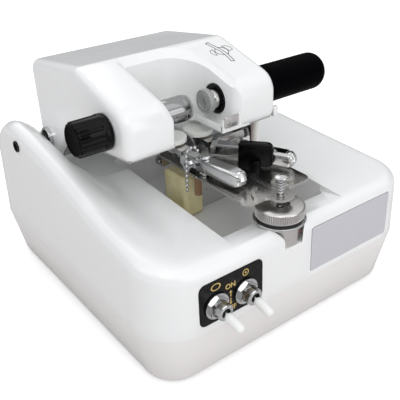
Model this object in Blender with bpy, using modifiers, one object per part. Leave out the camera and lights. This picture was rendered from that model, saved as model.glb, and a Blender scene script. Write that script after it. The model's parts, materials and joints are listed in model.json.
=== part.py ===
"""Desktop lens groover, built from its separate pieces.

Metres, +Z up. Places are measured from the middle of the width (x), the front face
at the belt line (y) and the table (z); one empty then moves everything so that the
origin lies under the middle of the whole object.
"""
import math

import bmesh
import bpy
from mathutils import Vector

# Housing
WIDTH = 0.210
DEPTH = 0.222
CORNER_RADIUS = 0.0275
INNER_CORNER = 0.004
FOOT_HEIGHT = 0.0015
BELT_HEIGHT = 0.038
TRAY_INSET = 0.0068
TRAY_EDGE = 0.003
WALL = 0.003
DRAFT_SLOPE = 0.026
TOP_HEIGHT = 0.0805
TOP_SLOPE = 0.049
EDGE_RADIUS = 0.0085
EAR_RISE = 0.0265
EAR_CREST_INSET = 0.007
EAR_FOOT = 0.043
LEFT_RAIL = 0.058
RIGHT_RAIL = 0.064
FRONT_LEDGE = 0.0215
LEDGE_DIP = 0.0032
LEDGE_START = 0.006
WELL_LENGTH = 0.1185
WELL_DROP = 0.0225
WELL_CORNER = 0.005
WELL_SLANT = 0.009
RECESS_START = 0.118
RECESS_RISE = 0.0035
RECESS_EDGE = 0.004
EAR_WIDTH = 0.019
RIGHT_EAR_WIDTH = 0.012
RIGHT_EAR_LENGTH = 0.042
BOSS_RADIUS = 0.008
PILLAR_RADIUS = 0.0055
PILLAR_INSET = 0.021
GAP = 0.0003
RUN = 0.0006
OVERRUN = 0.004
EDGE_BREAK = 0.0006
MERGE_DISTANCE = 0.000001
MILLIMETRES = 1000
LEFT_PIECES = 16
RIGHT_PIECES = 1
END_PIECES = 2
CORNER_PIECES = 5
EDGE_PIECES = 3
SPRING_POINTS = 9

# Feet and screws
FOOT_RADIUS = 0.008
FOOT_INSET = 0.030
SCREW_RADIUS = 0.0015
SCREW_HEAD_RADIUS = 0.0029

# Front panel, its two switches and the plain plate
PANEL_LEFT = 0.0773
PANEL_WIDTH = 0.0456
PANEL_BOTTOM = 0.0428
PANEL_TOP_MARGIN = 0.0103
PANEL_CORNER = 0.004
PANEL_THICKNESS = 0.0012
PANEL_SEAT = 0.0013
PLATE_LABEL_LEFT = 0.0087
PLATE_LABEL_WIDTH = 0.0714
PLATE_LABEL_BOTTOM = 0.0425
PLATE_LABEL_TOP_MARGIN = 0.0072
PLATE_LABEL_CORNER = 0.0015
PLATE_LABEL_THICKNESS = 0.0008
PLATE_SEAT = 0.001
SWITCH_SPACING = 0.0211
SWITCH_DROP = 0.0027
SWITCH_SHIFT = 0.0009
SWITCH_WASHER_RADIUS = 0.0082
SWITCH_WASHER_THICKNESS = 0.0009
SWITCH_NUT_RADIUS = 0.0067
SWITCH_NUT_HEIGHT = 0.0023
SWITCH_BUSHING_RADIUS = 0.0052
SWITCH_BUSHING_REACH = 0.0082
SWITCH_MOUTH_RADIUS = 0.0032
SWITCH_MOUTH_DEPTH = 0.005
SWITCH_BODY_WIDTH = 0.0135
SWITCH_BODY_HEIGHT = 0.020
SWITCH_BODY_DEPTH = 0.0105
SWITCH_PIN_WIDTH = 0.002
SWITCH_PIN_LENGTH = 0.0035
LEVER_ROOT_RADIUS = 0.0016
LEVER_TIP_RADIUS = 0.0019
LEVER_LENGTH = 0.0175
LEVER_TILT = math.radians(-13)
SLEEVE_RADIUS = 0.0033
SLEEVE_TIP_RADIUS = 0.0028
SLEEVE_END = 0.0008
SLEEVE_LENGTH = 0.0125

# Depth dial on the front ledge
DIAL_X = -0.0065
DIAL_Y = 0.014
DIAL_RADIUS = 0.015
DIAL_HEIGHT = 0.0078
DIAL_FLUTES = 30
DIAL_FLUTE_DEPTH = 0.0005
DIAL_EDGE = 0.0012
DIAL_RECESS_RADIUS = 0.0058
DIAL_RECESS_DEPTH = 0.0022
DIAL_WASHER_HEIGHT = 0.0012
DIAL_WASHER_RADIUS = 0.0143
FLANGE_HEIGHT = 0.0014
FLANGE_MARGIN = 0.0005
HOUSING_RADIUS = 0.0127
HOUSING_HEIGHT = 0.0135
POCKET_CLEARANCE = 0.0021
SPINDLE_RADIUS = 0.0016
SPINDLE_COLLAR_RADIUS = 0.0032
SPINDLE_COLLAR_HEIGHT = 0.0016
SPINDLE_CAP_RADIUS = 0.0036
SPINDLE_CAP_HEIGHT = 0.0014
SPINDLE_SPRING_RADIUS = 0.0027
SPINDLE_SPRING_WIRE = 0.00035
SPINDLE_SPRING_HEIGHT = 0.0098
SPINDLE_SPRING_TURNS = 5
SPINDLE_NECK = 0.0047

# Guide plate
PLATE_THICKNESS = 0.0015
PLATE_LEFT = 0.031
PLATE_RIGHT = 0.022
PLATE_FRONT = 0.0155
PLATE_FIELD = 0.0625
PLATE_STRIP = 0.0075
PLATE_TONGUE_WIDTH = 0.016
PLATE_CORNER = 0.005
PLATE_STEP = 0.0012
LUG_REACH = 0.0034
PIVOT_Y = 0.1045
PIVOT_PIN_RADIUS = 0.0015
PIN_HEAD_RADIUS = 0.0024
PIN_HEAD_HEIGHT = 0.001
PIN_SEAT = 0.006
RIB_HEIGHT = 0.0012
RIB_RADIUS = 0.0150
RIB_WIDTH = 0.0022

# Guide arms and rollers
LENS_X = -0.0178
LENS_GAP = 0.0014
ROLLER_RADIUS = 0.0098
ROLLER_THICKNESS = 0.003
ROLLER_Y = 0.092
ROLLER_HUB_RADIUS = 0.0032
ROLLER_SKIN = 0.001
ROLLER_EDGE = 0.0004
ROLLER_LIFT = 0.0025
ARM_HEIGHT = 0.0085
ARM_WIDTH = 0.0082
ARM_CHAMFER = 0.0014
ARM_LIFT = 0.0025
ARM_FRONT_Y = 0.0345
LEFT_ARM_FRONT_X = -0.0210
RIGHT_ARM_FRONT_X = 0.0200
LEFT_ARM_OFFSET = 0.0068
RIGHT_ARM_OFFSET = 0.0244
COLLAR_RING_RADIUS = 0.0042
COLLAR_REACH = 0.002
ARM_PIVOT_Y = 0.062
ARM_REAR_Y = 0.080
ARM_TONGUE_HEIGHT = 0.0035
TONGUE_RISE = 0.0015
BALL_RADIUS = 0.0046
PIVOT_HEAD_RADIUS = 0.0036
PIVOT_HEAD_HEIGHT = 0.0016
PIVOT_STUD_RADIUS = 0.0020
PIVOT_SPACER_RADIUS = 0.0038

# Opening lever between the arms
LEVER_X = 0.002
LEVER_Y = 0.0460
LEVER_FOOT_RADIUS = 0.0036
LEVER_FOOT_HEIGHT = 0.004
LEVER_BLADE_LENGTH = 0.0195
LEVER_BLADE_HEIGHT = 0.014
LEVER_BLADE_THICKNESS = 0.0062
LEVER_BLADE_CORNER = 0.0042
LEVER_ANGLE = math.radians(-47)

# Bead chain
BEAD_RADIUS = 0.0012
BEAD_PITCH = 0.0033
CHAIN_WIRE = 0.0004
CHAIN_DROP = 0.026
CHAIN_OFFSET = 0.0065
CHAIN_BEND = 0.0045

# Grooving wheel, its spindle and drive
WHEEL_RADIUS = 0.0115
WHEEL_THICKNESS = 0.0008
WHEEL_HUB_RADIUS = 0.0042
WHEEL_HUB_LENGTH = 0.0035
SPINDLE_BLOCK_LEFT = 0.0105
SPINDLE_BLOCK_RIGHT = 0.028
SPINDLE_BLOCK_WIDTH = 0.0325
SPINDLE_HOUSING_RADIUS = 0.0046
SPINDLE_BLOCK_DEPTH = 0.012
WHEEL_SHAFT_RADIUS = 0.0016
PULLEY_RADIUS = 0.0046
PULLEY_WIDTH = 0.0055
PULLEY_X = 0.031
PULLEY_FLANGE = 0.0008
SLOT_SIDE = 0.0015
PULLEY_GROOVE = 0.0012
BELT_RADIUS = 0.0009
MOTOR_PULLEY_RADIUS = 0.0085
MOTOR_RADIUS = 0.018
MOTOR_SIDE = 0.0213
MOTOR_Z = 0.0285
MOTOR_SHAFT_RADIUS = 0.0016
MOTOR_FOOT_THICKNESS = 0.002
BELT_SLOT_MARGIN = 0.0028

# Sponge and the pin in front of it
SPONGE_WIDTH = 0.0155
SPONGE_LEFT = 0.030
SPONGE_DEPTH = 0.026
SPONGE_FRONT = 0.0765
SPONGE_EDGE = 0.0016
STOP_PIN_RADIUS = 0.0024
STOP_PIN_LENGTH = 0.0165
STOP_PIN_Y = 0.0705
STOP_PIN_X = 0.024

# Head
HEAD_LEFT = 0.0805
HEAD_WIDTH = 0.1115
HEAD_WALL = 0.0025
HEAD_EDGE = 0.0035
LENS_CLEARANCE = 0.0235
AXIS_BACK = 0.012
HINGE_BACK = 0.083
HINGE_DROP = 0.032
HEAD_NOSE = 0.0215
HEAD_BELOW = 0.0143
NOSE_RISE = 0.0132
CREASE_BACK = 0.032
CREASE_RISE = 0.0285
HEAD_TAIL = 0.015
REAR_TOP_RISE = 0.0190
TAIL_DROP = 0.0105
TAIL_FRONT = 0.013
STEP_FRONT = 0.031
STEP_RISE = 0.0090
NOSE_RADIUS = 0.009
NOSE_LIP = 0.003
CREASE_RADIUS = 0.010
REAR_RADIUS = 0.007
TAIL_RADIUS = 0.003
SCOOP_LEFT = 0.0292
SCOOP_WIDTH = 0.0495
SCOOP_DEPTH = 0.0485
SCOOP_CORNER = 0.024
SCOOP_RIM = 0.0075
SCOOP_RIM_DEPTH = 0.0035
SCOOP_RIM_SIDE = 0.005
SCOOP_INNER_CORNER = 0.006
SCOOP_LEFT_LIP = 0.006
SCOOP_RIGHT_LIP = 0.008
HEAD_PLATE_THICKNESS = 0.002
LUG_THICKNESS = 0.003
LUG_RADIUS = 0.0075
HINGE_SHAFT_RADIUS = 0.0025
HINGE_BUSH_RADIUS = 0.0047
BUSH_REACH = 0.003
BUSH_INSIDE = 0.008
HINGE_WASHER_RADIUS = 0.0056
HINGE_WASHER_THICKNESS = 0.0008
HINGE_COUNTERBORE = 0.0038
SCREW_SEAT = 0.007
HEAD_GAP = 0.0055
STOP_POST_RADIUS = 0.0026
POST_BASE_HEIGHT = 0.002
STOP_POST_X = 0.0260
STOP_POST_Y = 0.073

# Left chuck
CHUCK_SHAFT_RADIUS = 0.003
CHUCK_RADIUS = 0.0082
CHUCK_LENGTH = 0.0235
CHUCK_NECK_RADIUS = 0.0062
CHUCK_END_X = -0.0262
CHUCK_PAD_RADIUS = 0.0076
CHUCK_PAD_THICKNESS = 0.0018
KNOB_RADIUS = 0.0106
KNOB_LENGTH = 0.0205
KNOB_FLUTES = 12
KNOB_FLUTE_DEPTH = 0.0009
KNOB_EDGE = 0.0009
KNOB_COLLAR = 0.0045
BUSH_RADIUS = 0.0055
BUSH_LENGTH = 0.006
GEAR_MODULE = 0.002
GEAR_WIDTH = 0.004
CHUCK_TEETH = 12
IDLER_TEETH = 14
PINION_TEETH = 8
GEAR_LEFT = 0.0095
IDLER_PIN_RADIUS = 0.002
LENS_MOTOR_RADIUS = 0.0135
LENS_MOTOR_LENGTH = 0.046
LENS_MOTOR_SHAFT_RADIUS = 0.0012

# Right clamp
CLAMP_FACE_X = -0.0115
CLAMP_PAD_RADIUS = 0.0079
CLAMP_PAD_THICKNESS = 0.0045
CLAMP_PAD_HOLLOW = 0.0038
CLAMP_NECK_RADIUS = 0.0062
CLAMP_SHAFT_RADIUS = 0.0032
CLAMP_GUIDE_RADIUS = 0.0096
GUIDE_REACH = 0.0012
GRIP_RADIUS = 0.0126
GRIP_LENGTH = 0.066
GRIP_END_RADIUS = 0.007
GRIP_FLARE = 0.0008
GRIP_FLARE_LENGTH = 0.004
GRIP_SPARE = 0.012
COLLAR_RADIUS = 0.0102
COLLAR_LENGTH = 0.0030

# Electrics under the top
BOARD_LENGTH = 0.070
BOARD_WIDTH = 0.045
BOARD_THICKNESS = 0.0016
BOARD_STANDOFF = 0.006
BOARD_SIDE = 0.017
BOARD_FRONT = 0.060
TRANSFORMER_WIDTH = 0.046
TRANSFORMER_DEPTH = 0.036
TRANSFORMER_HEIGHT = 0.038
TRANSFORMER_SIDE = 0.035
TRANSFORMER_REAR = 0.036
COIL_MARGIN = 0.006
INLET_WIDTH = 0.0275
INLET_HEIGHT = 0.0195
INLET_FLANGE = 0.0030
INLET_DEPTH = 0.022
INLET_LIP = 0.0022
REAR_SEAT = 0.0012
INLET_SIDE = 0.075
INLET_Z = 0.056
PRONG_WIDTH = 0.002
PRONG_HEIGHT = 0.004
PRONG_SPACING = 0.007
FUSE_SIDE = 0.043
FUSE_RADIUS = 0.0062
FUSE_RIM = 0.0016
FUSE_CAP_LENGTH = 0.009
FUSE_BODY_LENGTH = 0.020

# Points along the depth, and how far the left rail has risen towards its ear there
EAR_PLACE_SHARES = (0, 0.135, 0.27, 0.405, 0.54, 0.63, 0.685, 0.72, 0.757, 0.793, 0.838, 0.883, 0.93, 1)
EAR_RISE_SHARES = (0.10, 0.205, 0.345, 0.575, 0.80, 0.905, 0.955, 0.985, 1, 0.995, 0.87, 0.60, 0.14, 0)
TOP_RING_SHARES = (0.2, 0.42, 0.68, 1)
WELL_HEIGHT_SHARES = (0, 0.1, 0.3, 0.6, 1)
WELL_LEAN_SHARES = (1, 0.62, 0.35, 0.13, 0)
RIB_ARC_SHARES = ((0.04, 0.19), (0.31, 0.46))
LEVER_BLADE_BACK_SHARE = 0.54
BEAD_POINT_SHARES = (-1, -0.6, 0, 0.6, 1)
MOTOR_FOOT_SHARE = 0.66
RIM_SHARES = (-0.2, 2.4)
CHUCK_NECK_SHARE = 0.2
NECK_END_SHARE = 0.48
DIAL_FLUTE_SHARES = ((0, 0), (0.5, 1))
KNOB_FLUTE_SHARES = ((0, 0), (0.42, 0), (0.6, 1), (0.82, 1))
TIP_SHARE = 0.9
ROOT_SHARE = 1.15
TOOTH_ROOT_SHARE = 0.29
TOOTH_TIP_SHARE = 0.11
BOARD_PART_SHARES = ((0.1, 0.15, 0.22, 0.35, 0.36), (0.4, 0.15, 0.22, 0.35, 0.36), (0.72, 0.2, 0.16, 0.36,
                                                                                    0.5),
                     (0.12, 0.62, 0.3, 0.2, 0.12), (0.55, 0.65, 0.25, 0.18, 0.2))

# Derived places that several pieces share
HALF_WIDTH = WIDTH / 2
WELL_LEFT_X = LEFT_RAIL - HALF_WIDTH
WELL_RIGHT_X = HALF_WIDTH - RIGHT_RAIL
EAR_FACE_X = EAR_WIDTH - HALF_WIDTH
WELL_FLOOR = TOP_HEIGHT - WELL_DROP
RECESS_FLOOR = TOP_HEIGHT + RECESS_RISE
PANEL_HEIGHT = TOP_HEIGHT - PANEL_TOP_MARGIN - PANEL_BOTTOM
PLATE_LABEL_HEIGHT = TOP_HEIGHT - PLATE_LABEL_TOP_MARGIN - PLATE_LABEL_BOTTOM
TRANSFORMER_FRONT = DEPTH - TRANSFORMER_REAR - TRANSFORMER_DEPTH
TRANSFORMER_LEFT = HALF_WIDTH - TRANSFORMER_SIDE
BOARD_LEFT = HALF_WIDTH - BOARD_SIDE
INLET_X = HALF_WIDTH - INLET_SIDE
FUSE_X = HALF_WIDTH - FUSE_SIDE
MOTOR_LENGTH = HALF_WIDTH - MOTOR_SIDE - PULLEY_X - PULLEY_WIDTH - RUN * 2
WELL_REAR_Y = FRONT_LEDGE + WELL_LENGTH
LEDGE_Z = TOP_HEIGHT + TOP_SLOPE * DIAL_Y - LEDGE_DIP * (DIAL_Y - LEDGE_START) / (FRONT_LEDGE - LEDGE_START)
FLANGE_Z = LEDGE_Z + EDGE_BREAK
DIAL_Z = FLANGE_Z + FLANGE_HEIGHT + DIAL_WASHER_HEIGHT + GAP
DIAL_TOP = DIAL_Z + DIAL_HEIGHT
PLATE_Z = DIAL_TOP + SPINDLE_NECK
PLATE_TOP = PLATE_Z + PLATE_THICKNESS
ARM_Z = PLATE_TOP + ARM_LIFT
ARM_TOP = ARM_Z + ARM_HEIGHT
ROLLER_Z = ARM_TOP + ROLLER_LIFT
WHEEL_Y = ROLLER_Y - ROLLER_THICKNESS / 2
WHEEL_Z = ROLLER_Z + ROLLER_THICKNESS / 2 - WHEEL_RADIUS
CHUCK_Y = ROLLER_Y - AXIS_BACK
CHUCK_Z = ROLLER_Z + ROLLER_THICKNESS / 2 + LENS_CLEARANCE
HINGE_Y = CHUCK_Y + HINGE_BACK
HINGE_Z = CHUCK_Z - HINGE_DROP
HEAD_LEFT_X = -HEAD_LEFT
HEAD_RIGHT_X = HEAD_WIDTH - HEAD_LEFT
RIGHT_EAR_X = HEAD_RIGHT_X + HEAD_GAP
NOSE_Y = CHUCK_Y - HEAD_NOSE
SCOOP_LEFT_X = HEAD_LEFT_X + SCOOP_LEFT
SPINDLE_BLOCK_LEFT_X = -SPINDLE_BLOCK_LEFT
SWITCH_Z = PANEL_BOTTOM + PANEL_HEIGHT / 2 - SWITCH_DROP
FACE_TURN = (math.pi / 2 - math.atan(DRAFT_SLOPE), 0, 0)
PIVOT_Z = PLATE_Z - LUG_REACH

parts = None
cutters = None
pivots = {}


def start_scene():
    global parts, cutters
    for item in list(bpy.data.objects):
        bpy.data.objects.remove(item)
    parts = bpy.data.collections.new("lens_groover")
    cutters = bpy.data.collections.new("cutters")
    for group in (parts, cutters):
        bpy.context.scene.collection.children.link(group)


def add_pivot(name, place, parent=None):
    """An empty on a joint's axis; every moving piece hangs on one."""
    pivot = bpy.data.objects.new(name, None)
    parts.objects.link(pivot)
    pivot.location = place
    if parent is not None:
        pivot.parent = pivots[parent][0]
        pivot.location = Vector(place) - pivots[parent][1]
    pivots[name] = (pivot, Vector(place))


def hang(parent, *items):
    """Parent pieces to an empty and keep them where they are."""
    pivot, place = pivots[parent]
    for item in items:
        item.parent = pivot
        item.location = item.location - place


def paint(item, colour, roughness=0.4, metallic=0.0):
    surface = bpy.data.materials.new(item.name + "_finish")
    surface.use_nodes = True
    shader = surface.node_tree.nodes["Principled BSDF"]
    shader.inputs["Base Color"].default_value = (*colour, 1)
    shader.inputs["Roughness"].default_value = roughness
    shader.inputs["Metallic"].default_value = metallic
    item.data.materials.clear()
    item.data.materials.append(surface)


def white(item):
    paint(item, (0.86, 0.87, 0.87), 0.3)


def black(item):
    paint(item, (0.015, 0.015, 0.017), 0.35)


def chrome(item):
    paint(item, (0.78, 0.78, 0.78), 0.15, 1.0)


def steel(item):
    paint(item, (0.52, 0.52, 0.52), 0.3, 1.0)


def nylon(item):
    paint(item, (0.80, 0.80, 0.77), 0.5)


def from_bmesh(name, cage, group=None):
    mesh = bpy.data.meshes.new(name)
    cage.to_mesh(mesh)
    cage.free()
    item = bpy.data.objects.new(name, mesh)
    (group or parts).objects.link(item)
    if group is cutters:
        item.hide_render = True
        item.display_type = "WIRE"
    mesh.shade_smooth()
    mesh.set_sharp_from_angle(angle=math.radians(32))
    return item


TURNS = {"Z": (0, 0, 0), "X": (0, math.pi / 2, 0), "Y": (-math.pi / 2, 0, 0)}


def box(name, low, high, group=None):
    low, high = Vector(low), Vector(high)
    cage = bmesh.new()
    bmesh.ops.create_cube(cage, size=1)
    bmesh.ops.scale(cage, vec=high - low, verts=cage.verts)
    item = from_bmesh(name, cage, group)
    item.location = (low + high) / 2
    return item


def rod(name, radius, start, length, axis="Z", segments=16, far_radius=None, group=None):
    """A cylinder or cone that runs from its first end face along an axis."""
    cage = bmesh.new()
    far = radius if far_radius is None else far_radius
    bmesh.ops.create_cone(cage, cap_ends=True, segments=segments, radius1=radius, radius2=far, depth=length)
    bmesh.ops.translate(cage, vec=(0, 0, length / 2), verts=cage.verts)
    item = from_bmesh(name, cage, group)
    item.location = start
    item.rotation_euler = TURNS.get(axis, axis)
    return item


def ball(name, radius, centre, segments=12, group=None):
    cage = bmesh.new()
    bmesh.ops.create_uvsphere(cage, u_segments=segments, v_segments=segments // 2, radius=radius)
    item = from_bmesh(name, cage, group)
    item.location = centre
    return item


def turned(name, profile, start, axis="Z", steps=20, closed=False, group=None):
    """A turned piece; its profile of (radius, height) runs from the top down its outer side."""
    cage = bmesh.new()
    points = [cage.verts.new((radius, 0, height)) for radius, height in profile]
    for first, second in zip(points, points[1:]):
        cage.edges.new((first, second))
    if closed:
        cage.edges.new((points[-1], points[0]))
    item = from_bmesh(name, cage, group)
    spin = item.modifiers.new("Screw", "SCREW")
    spin.axis = "Z"
    spin.steps = steps
    spin.render_steps = steps
    spin.use_merge_vertices = True
    spin.merge_threshold = MERGE_DISTANCE
    item.location = start
    item.rotation_euler = TURNS.get(axis, axis)
    return item


def tube(name, radius, bore, start, length, axis="Z", steps=18, group=None):
    profile = [(radius, length), (radius, 0), (bore, 0), (bore, length)]
    return turned(name, profile, start, axis, steps, closed=True, group=group)


def as_mesh(curve_item, group=None):
    """Turn a curve object into a mesh piece with its caps joined on."""
    bpy.context.view_layer.update()
    depsgraph = bpy.context.evaluated_depsgraph_get()
    mesh = bpy.data.meshes.new_from_object(curve_item.evaluated_get(depsgraph))
    cage = bmesh.new()
    cage.from_mesh(mesh)
    bmesh.ops.remove_doubles(cage, verts=cage.verts, dist=MERGE_DISTANCE)
    bmesh.ops.recalc_face_normals(cage, faces=cage.faces)
    name = curve_item.name
    place = curve_item.matrix_world.copy()
    bpy.data.objects.remove(curve_item)
    item = from_bmesh(name, cage, group)
    item.matrix_world = place
    return item


FLAT_TURNS = {"XY": (0, 0, 0), "YZ": (math.pi / 2, 0, math.pi / 2), "XZ": (math.pi / 2, 0, 0)}


def extruded(name, outline, thickness, middle, plane="XY", group=None):
    """A flat outline given its thickness, half on each side of its middle plane."""
    shape = bpy.data.curves.new(name, "CURVE")
    shape.dimensions = "2D"
    shape.fill_mode = "BOTH"
    shape.extrude = thickness / 2
    spline = shape.splines.new("POLY")
    spline.points.add(len(outline) - 1)
    for point, (across, up) in zip(spline.points, outline):
        point.co = (across, up, 0, 1)
    spline.use_cyclic_u = True
    item = bpy.data.objects.new(name, shape)
    parts.objects.link(item)
    item.location = middle
    item.rotation_euler = FLAT_TURNS.get(plane, plane)
    return as_mesh(item, group)


def wire(name, points, radius, widths=None, cyclic=False, group=None):
    """A round wire along points; widths gives each point its own share of the radius."""
    shape = bpy.data.curves.new(name, "CURVE")
    shape.dimensions = "3D"
    shape.bevel_depth = radius
    shape.bevel_resolution = 1
    shape.use_fill_caps = not cyclic
    spline = shape.splines.new("POLY")
    spline.points.add(len(points) - 1)
    for number, (point, place) in enumerate(zip(spline.points, points)):
        point.co = (*place, 1)
        if widths:
            point.radius = widths[number]
    spline.use_cyclic_u = cyclic
    item = bpy.data.objects.new(name, shape)
    parts.objects.link(item)
    return as_mesh(item, group)


def loft(name, rings, group=None):
    """A skin over rings that have the same number of points, closed at both ends."""
    cage = bmesh.new()
    rows = [[cage.verts.new(place) for place in ring] for ring in rings]
    for lower, upper in zip(rows, rows[1:]):
        for number in range(len(lower)):
            after = (number + 1) % len(lower)
            cage.faces.new((lower[number], lower[after], upper[after], upper[number]))
    cage.faces.new(rows[0])
    cage.faces.new(rows[-1])
    bmesh.ops.triangulate(cage, faces=cage.faces)
    bmesh.ops.recalc_face_normals(cage, faces=cage.faces)
    return from_bmesh(name, cage, group)


def fluted_rings(count, shares, depth, stations):
    """Rings of a fluted piece; each station is (height, radius, share of the flutes' depth)."""
    rings = []
    for height, radius, depth_share in stations:
        ring = []
        for flute in range(count):
            for share, flute_share in shares:
                angle = math.tau * (flute + share) / count
                reach = radius - depth * depth_share * flute_share
                ring.append((reach * math.cos(angle), reach * math.sin(angle), height))
        rings.append(ring)
    return rings


def change(item, operation, tools):
    for tool in tools:
        step = item.modifiers.new("Boolean", "BOOLEAN")
        step.operation = operation
        step.object = tool
        step.solver = "EXACT"


def cut(item, *tools):
    change(item, "DIFFERENCE", tools)


def join(item, *tools):
    change(item, "UNION", tools)


def keep_inside(item, *tools):
    change(item, "INTERSECT", tools)


def soften(item, width, segments=2, angle=math.radians(50)):
    step = item.modifiers.new("Bevel", "BEVEL")
    step.width = width
    step.segments = segments
    step.limit_method = "ANGLE"
    step.angle_limit = angle
    step.use_clamp_overlap = True


def arc(centre, radius, first, last, steps):
    angles = [first + (last - first) * number / steps for number in range(steps + 1)]
    return [(centre[0] + radius * math.cos(a), centre[1] + radius * math.sin(a)) for a in angles]


def rounded(corners, radii, steps=4):
    """A polygon whose corners become arcs; a radius of zero keeps a corner sharp."""
    outline = []
    count = len(corners)
    for number, (corner, radius) in enumerate(zip(corners, radii)):
        here = Vector(corner)
        before = (Vector(corners[number - 1]) - here).normalized()
        after = (Vector(corners[(number + 1) % count]) - here).normalized()
        if radius == 0:
            outline.append(tuple(here))
            continue
        half = before.angle(after) / 2
        middle = here + (before + after).normalized() * (radius / math.sin(half))
        reach = radius / math.tan(half)
        first = here + before * reach - middle
        last = here + after * reach - middle
        start = math.atan2(first.y, first.x)
        sweep = math.atan2(last.y, last.x) - start
        sweep = (sweep + math.pi) % math.tau - math.pi
        outline += arc(middle, radius, start, start + sweep, steps)
    return outline


def rectangle(left, bottom, width, height, radius=0, steps=3):
    corners = [(left, bottom), (left + width, bottom), (left + width, bottom + height), (left,
                                                                                         bottom + height)]
    return rounded(corners, [radius] * len(corners), steps)


def inset(corners, distances):
    """Corners of a polygon, listed anticlockwise, after each side moves in by its own distance."""
    count = len(corners)
    lines = []
    for number in range(count):
        here, there = Vector(corners[number]), Vector(corners[(number + 1) % count])
        along = (there - here).normalized()
        normal = Vector((-along.y, along.x))
        lines.append((here + normal * distances[number], along))
    moved = []
    for number in range(count):
        (place, along), (other, way) = lines[number - 1], lines[number]
        between = other - place
        reach = (between.x * way.y - between.y * way.x) / (along.x * way.y - along.y * way.x)
        moved.append(tuple(place + along * reach))
    return moved


def smooth(share):
    share = min(max(share, 0), 1)
    return share * share * (3 - 2 * share)


def ear_share(place):
    """How far the left rail has risen at a share of the depth, as one smooth curve."""
    places, rises = EAR_PLACE_SHARES, EAR_RISE_SHARES
    place = min(max(place, 0), 1)
    last = len(places) - 2
    number = max(n for n in range(last + 1) if places[n] <= place)

    def slope(n):
        low, high = max(n - 1, 0), min(n + 1, last + 1)
        return (rises[high] - rises[low]) / (places[high] - places[low])

    span = places[number + 1] - places[number]
    t = (place - places[number]) / span
    rise = rises[number] * (1 + 2 * t) * (1 - t) ** 2 + rises[number + 1] * t * t * (3 - 2 * t)
    return rise + span * (slope(number) * t * (1 - t) ** 2 - slope(number + 1) * t * t * (1 - t))


def top_plane(y):
    return TOP_HEIGHT + TOP_SLOPE * y


def top_height(x, y):
    crest = EAR_CREST_INSET - HALF_WIDTH
    foot = EAR_FOOT - HALF_WIDTH
    across = smooth((foot - x) / (foot - crest))
    return top_plane(y) + EAR_RISE * ear_share(y / DEPTH) * across


def housing_outline(shrink, coarse=False, plain=False):
    """The housing in plan, moved in all round, with the same points at every size."""
    sides = (LEFT_PIECES // 3, 1, 1, 1) if coarse else (LEFT_PIECES, END_PIECES, RIGHT_PIECES, END_PIECES)
    sides = (1, 1, 1, 1) if plain else sides
    turns = CORNER_PIECES // 2 if coarse else CORNER_PIECES
    radius = max(CORNER_RADIUS - shrink, INNER_CORNER)
    near_x, far_x = shrink + radius - HALF_WIDTH, HALF_WIDTH - shrink - radius
    near_y, far_y = shrink + radius, DEPTH - shrink - radius
    quarter = math.pi / 2
    centres = ((near_x, near_y), (near_x, far_y), (far_x, far_y), (far_x, near_y))
    arcs = [arc(centre, radius, -quarter * (number + 1), -quarter * (number + 2), turns)
            for number, centre in enumerate(centres)]
    outline = []
    for number, pieces in enumerate(sides):
        outline += arcs[number]
        here, there = Vector(arcs[number][-1]), Vector(arcs[(number + 1) % len(arcs)][0])
        outline += [tuple(here.lerp(there, n / pieces)) for n in range(1, pieces)]
    return outline


def housing_rings(shrink, bottom, edge_pieces, coarse=False):
    """Rings of the upper housing from its lower edge to the flat middle of its top."""
    rings = [[(x, y, bottom) for x, y in housing_outline(shrink, coarse)]]
    edge = EDGE_RADIUS - shrink
    rim = DRAFT_SLOPE * (TOP_HEIGHT - BELT_HEIGHT) + shrink
    for step in range(edge_pieces + 1):
        angle = math.pi / 2 * step / edge_pieces
        drop = shrink + edge * (1 - math.sin(angle))
        plan = housing_outline(rim + edge * (1 - math.cos(angle)), coarse)
        rings.append([(x, y, top_height(x, y) - drop) for x, y in plan])
    start = rim + edge
    for share in TOP_RING_SHARES[1::2] if coarse else TOP_RING_SHARES:
        plan = housing_outline(start + (LEFT_RAIL - start) * share, coarse)
        rings.append([(x, y, top_height(x, y) - shrink) for x, y in plan])
    return rings


def well_cutter(name, grow=0):
    """The open well: upright left, front and rear walls and a soft, leaning right wall."""
    rings = []
    low, high = WELL_FLOOR - grow, HINGE_Z
    step = 2 if grow else 1
    for height_share, lean_share in zip(WELL_HEIGHT_SHARES[::step], WELL_LEAN_SHARES[::step]):
        right = WELL_RIGHT_X + grow - WELL_SLANT * lean_share
        left, near, far = WELL_LEFT_X - grow, FRONT_LEDGE - grow, WELL_REAR_Y + grow
        plan = rectangle(left, near, right - left, far - near, WELL_CORNER + grow, 1 if grow else 3)
        height = low + (TOP_HEIGHT - WELL_FLOOR) * height_share
        rings.append([(x, y, height) for x, y in plan])
    rings.append([(x, y, high) for x, y, _ in rings[-1]])
    return loft(name, rings, cutters)


def recess_cutter(name, grow=0):
    left, right = EAR_FACE_X - grow, RIGHT_EAR_X - EDGE_BREAK + grow
    near, far = RECESS_START - grow, DEPTH + OVERRUN
    corners = [(left, near), (right, near), (right, far), (left, far)]
    plan = rounded(corners, [RECESS_EDGE + grow, RECESS_EDGE + grow, 0, 0])
    low, high = RECESS_FLOOR - grow, HINGE_Z + EAR_RISE
    return extruded(name, plan, high - low, (0, 0, (low + high) / 2), "XY", cutters)


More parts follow.
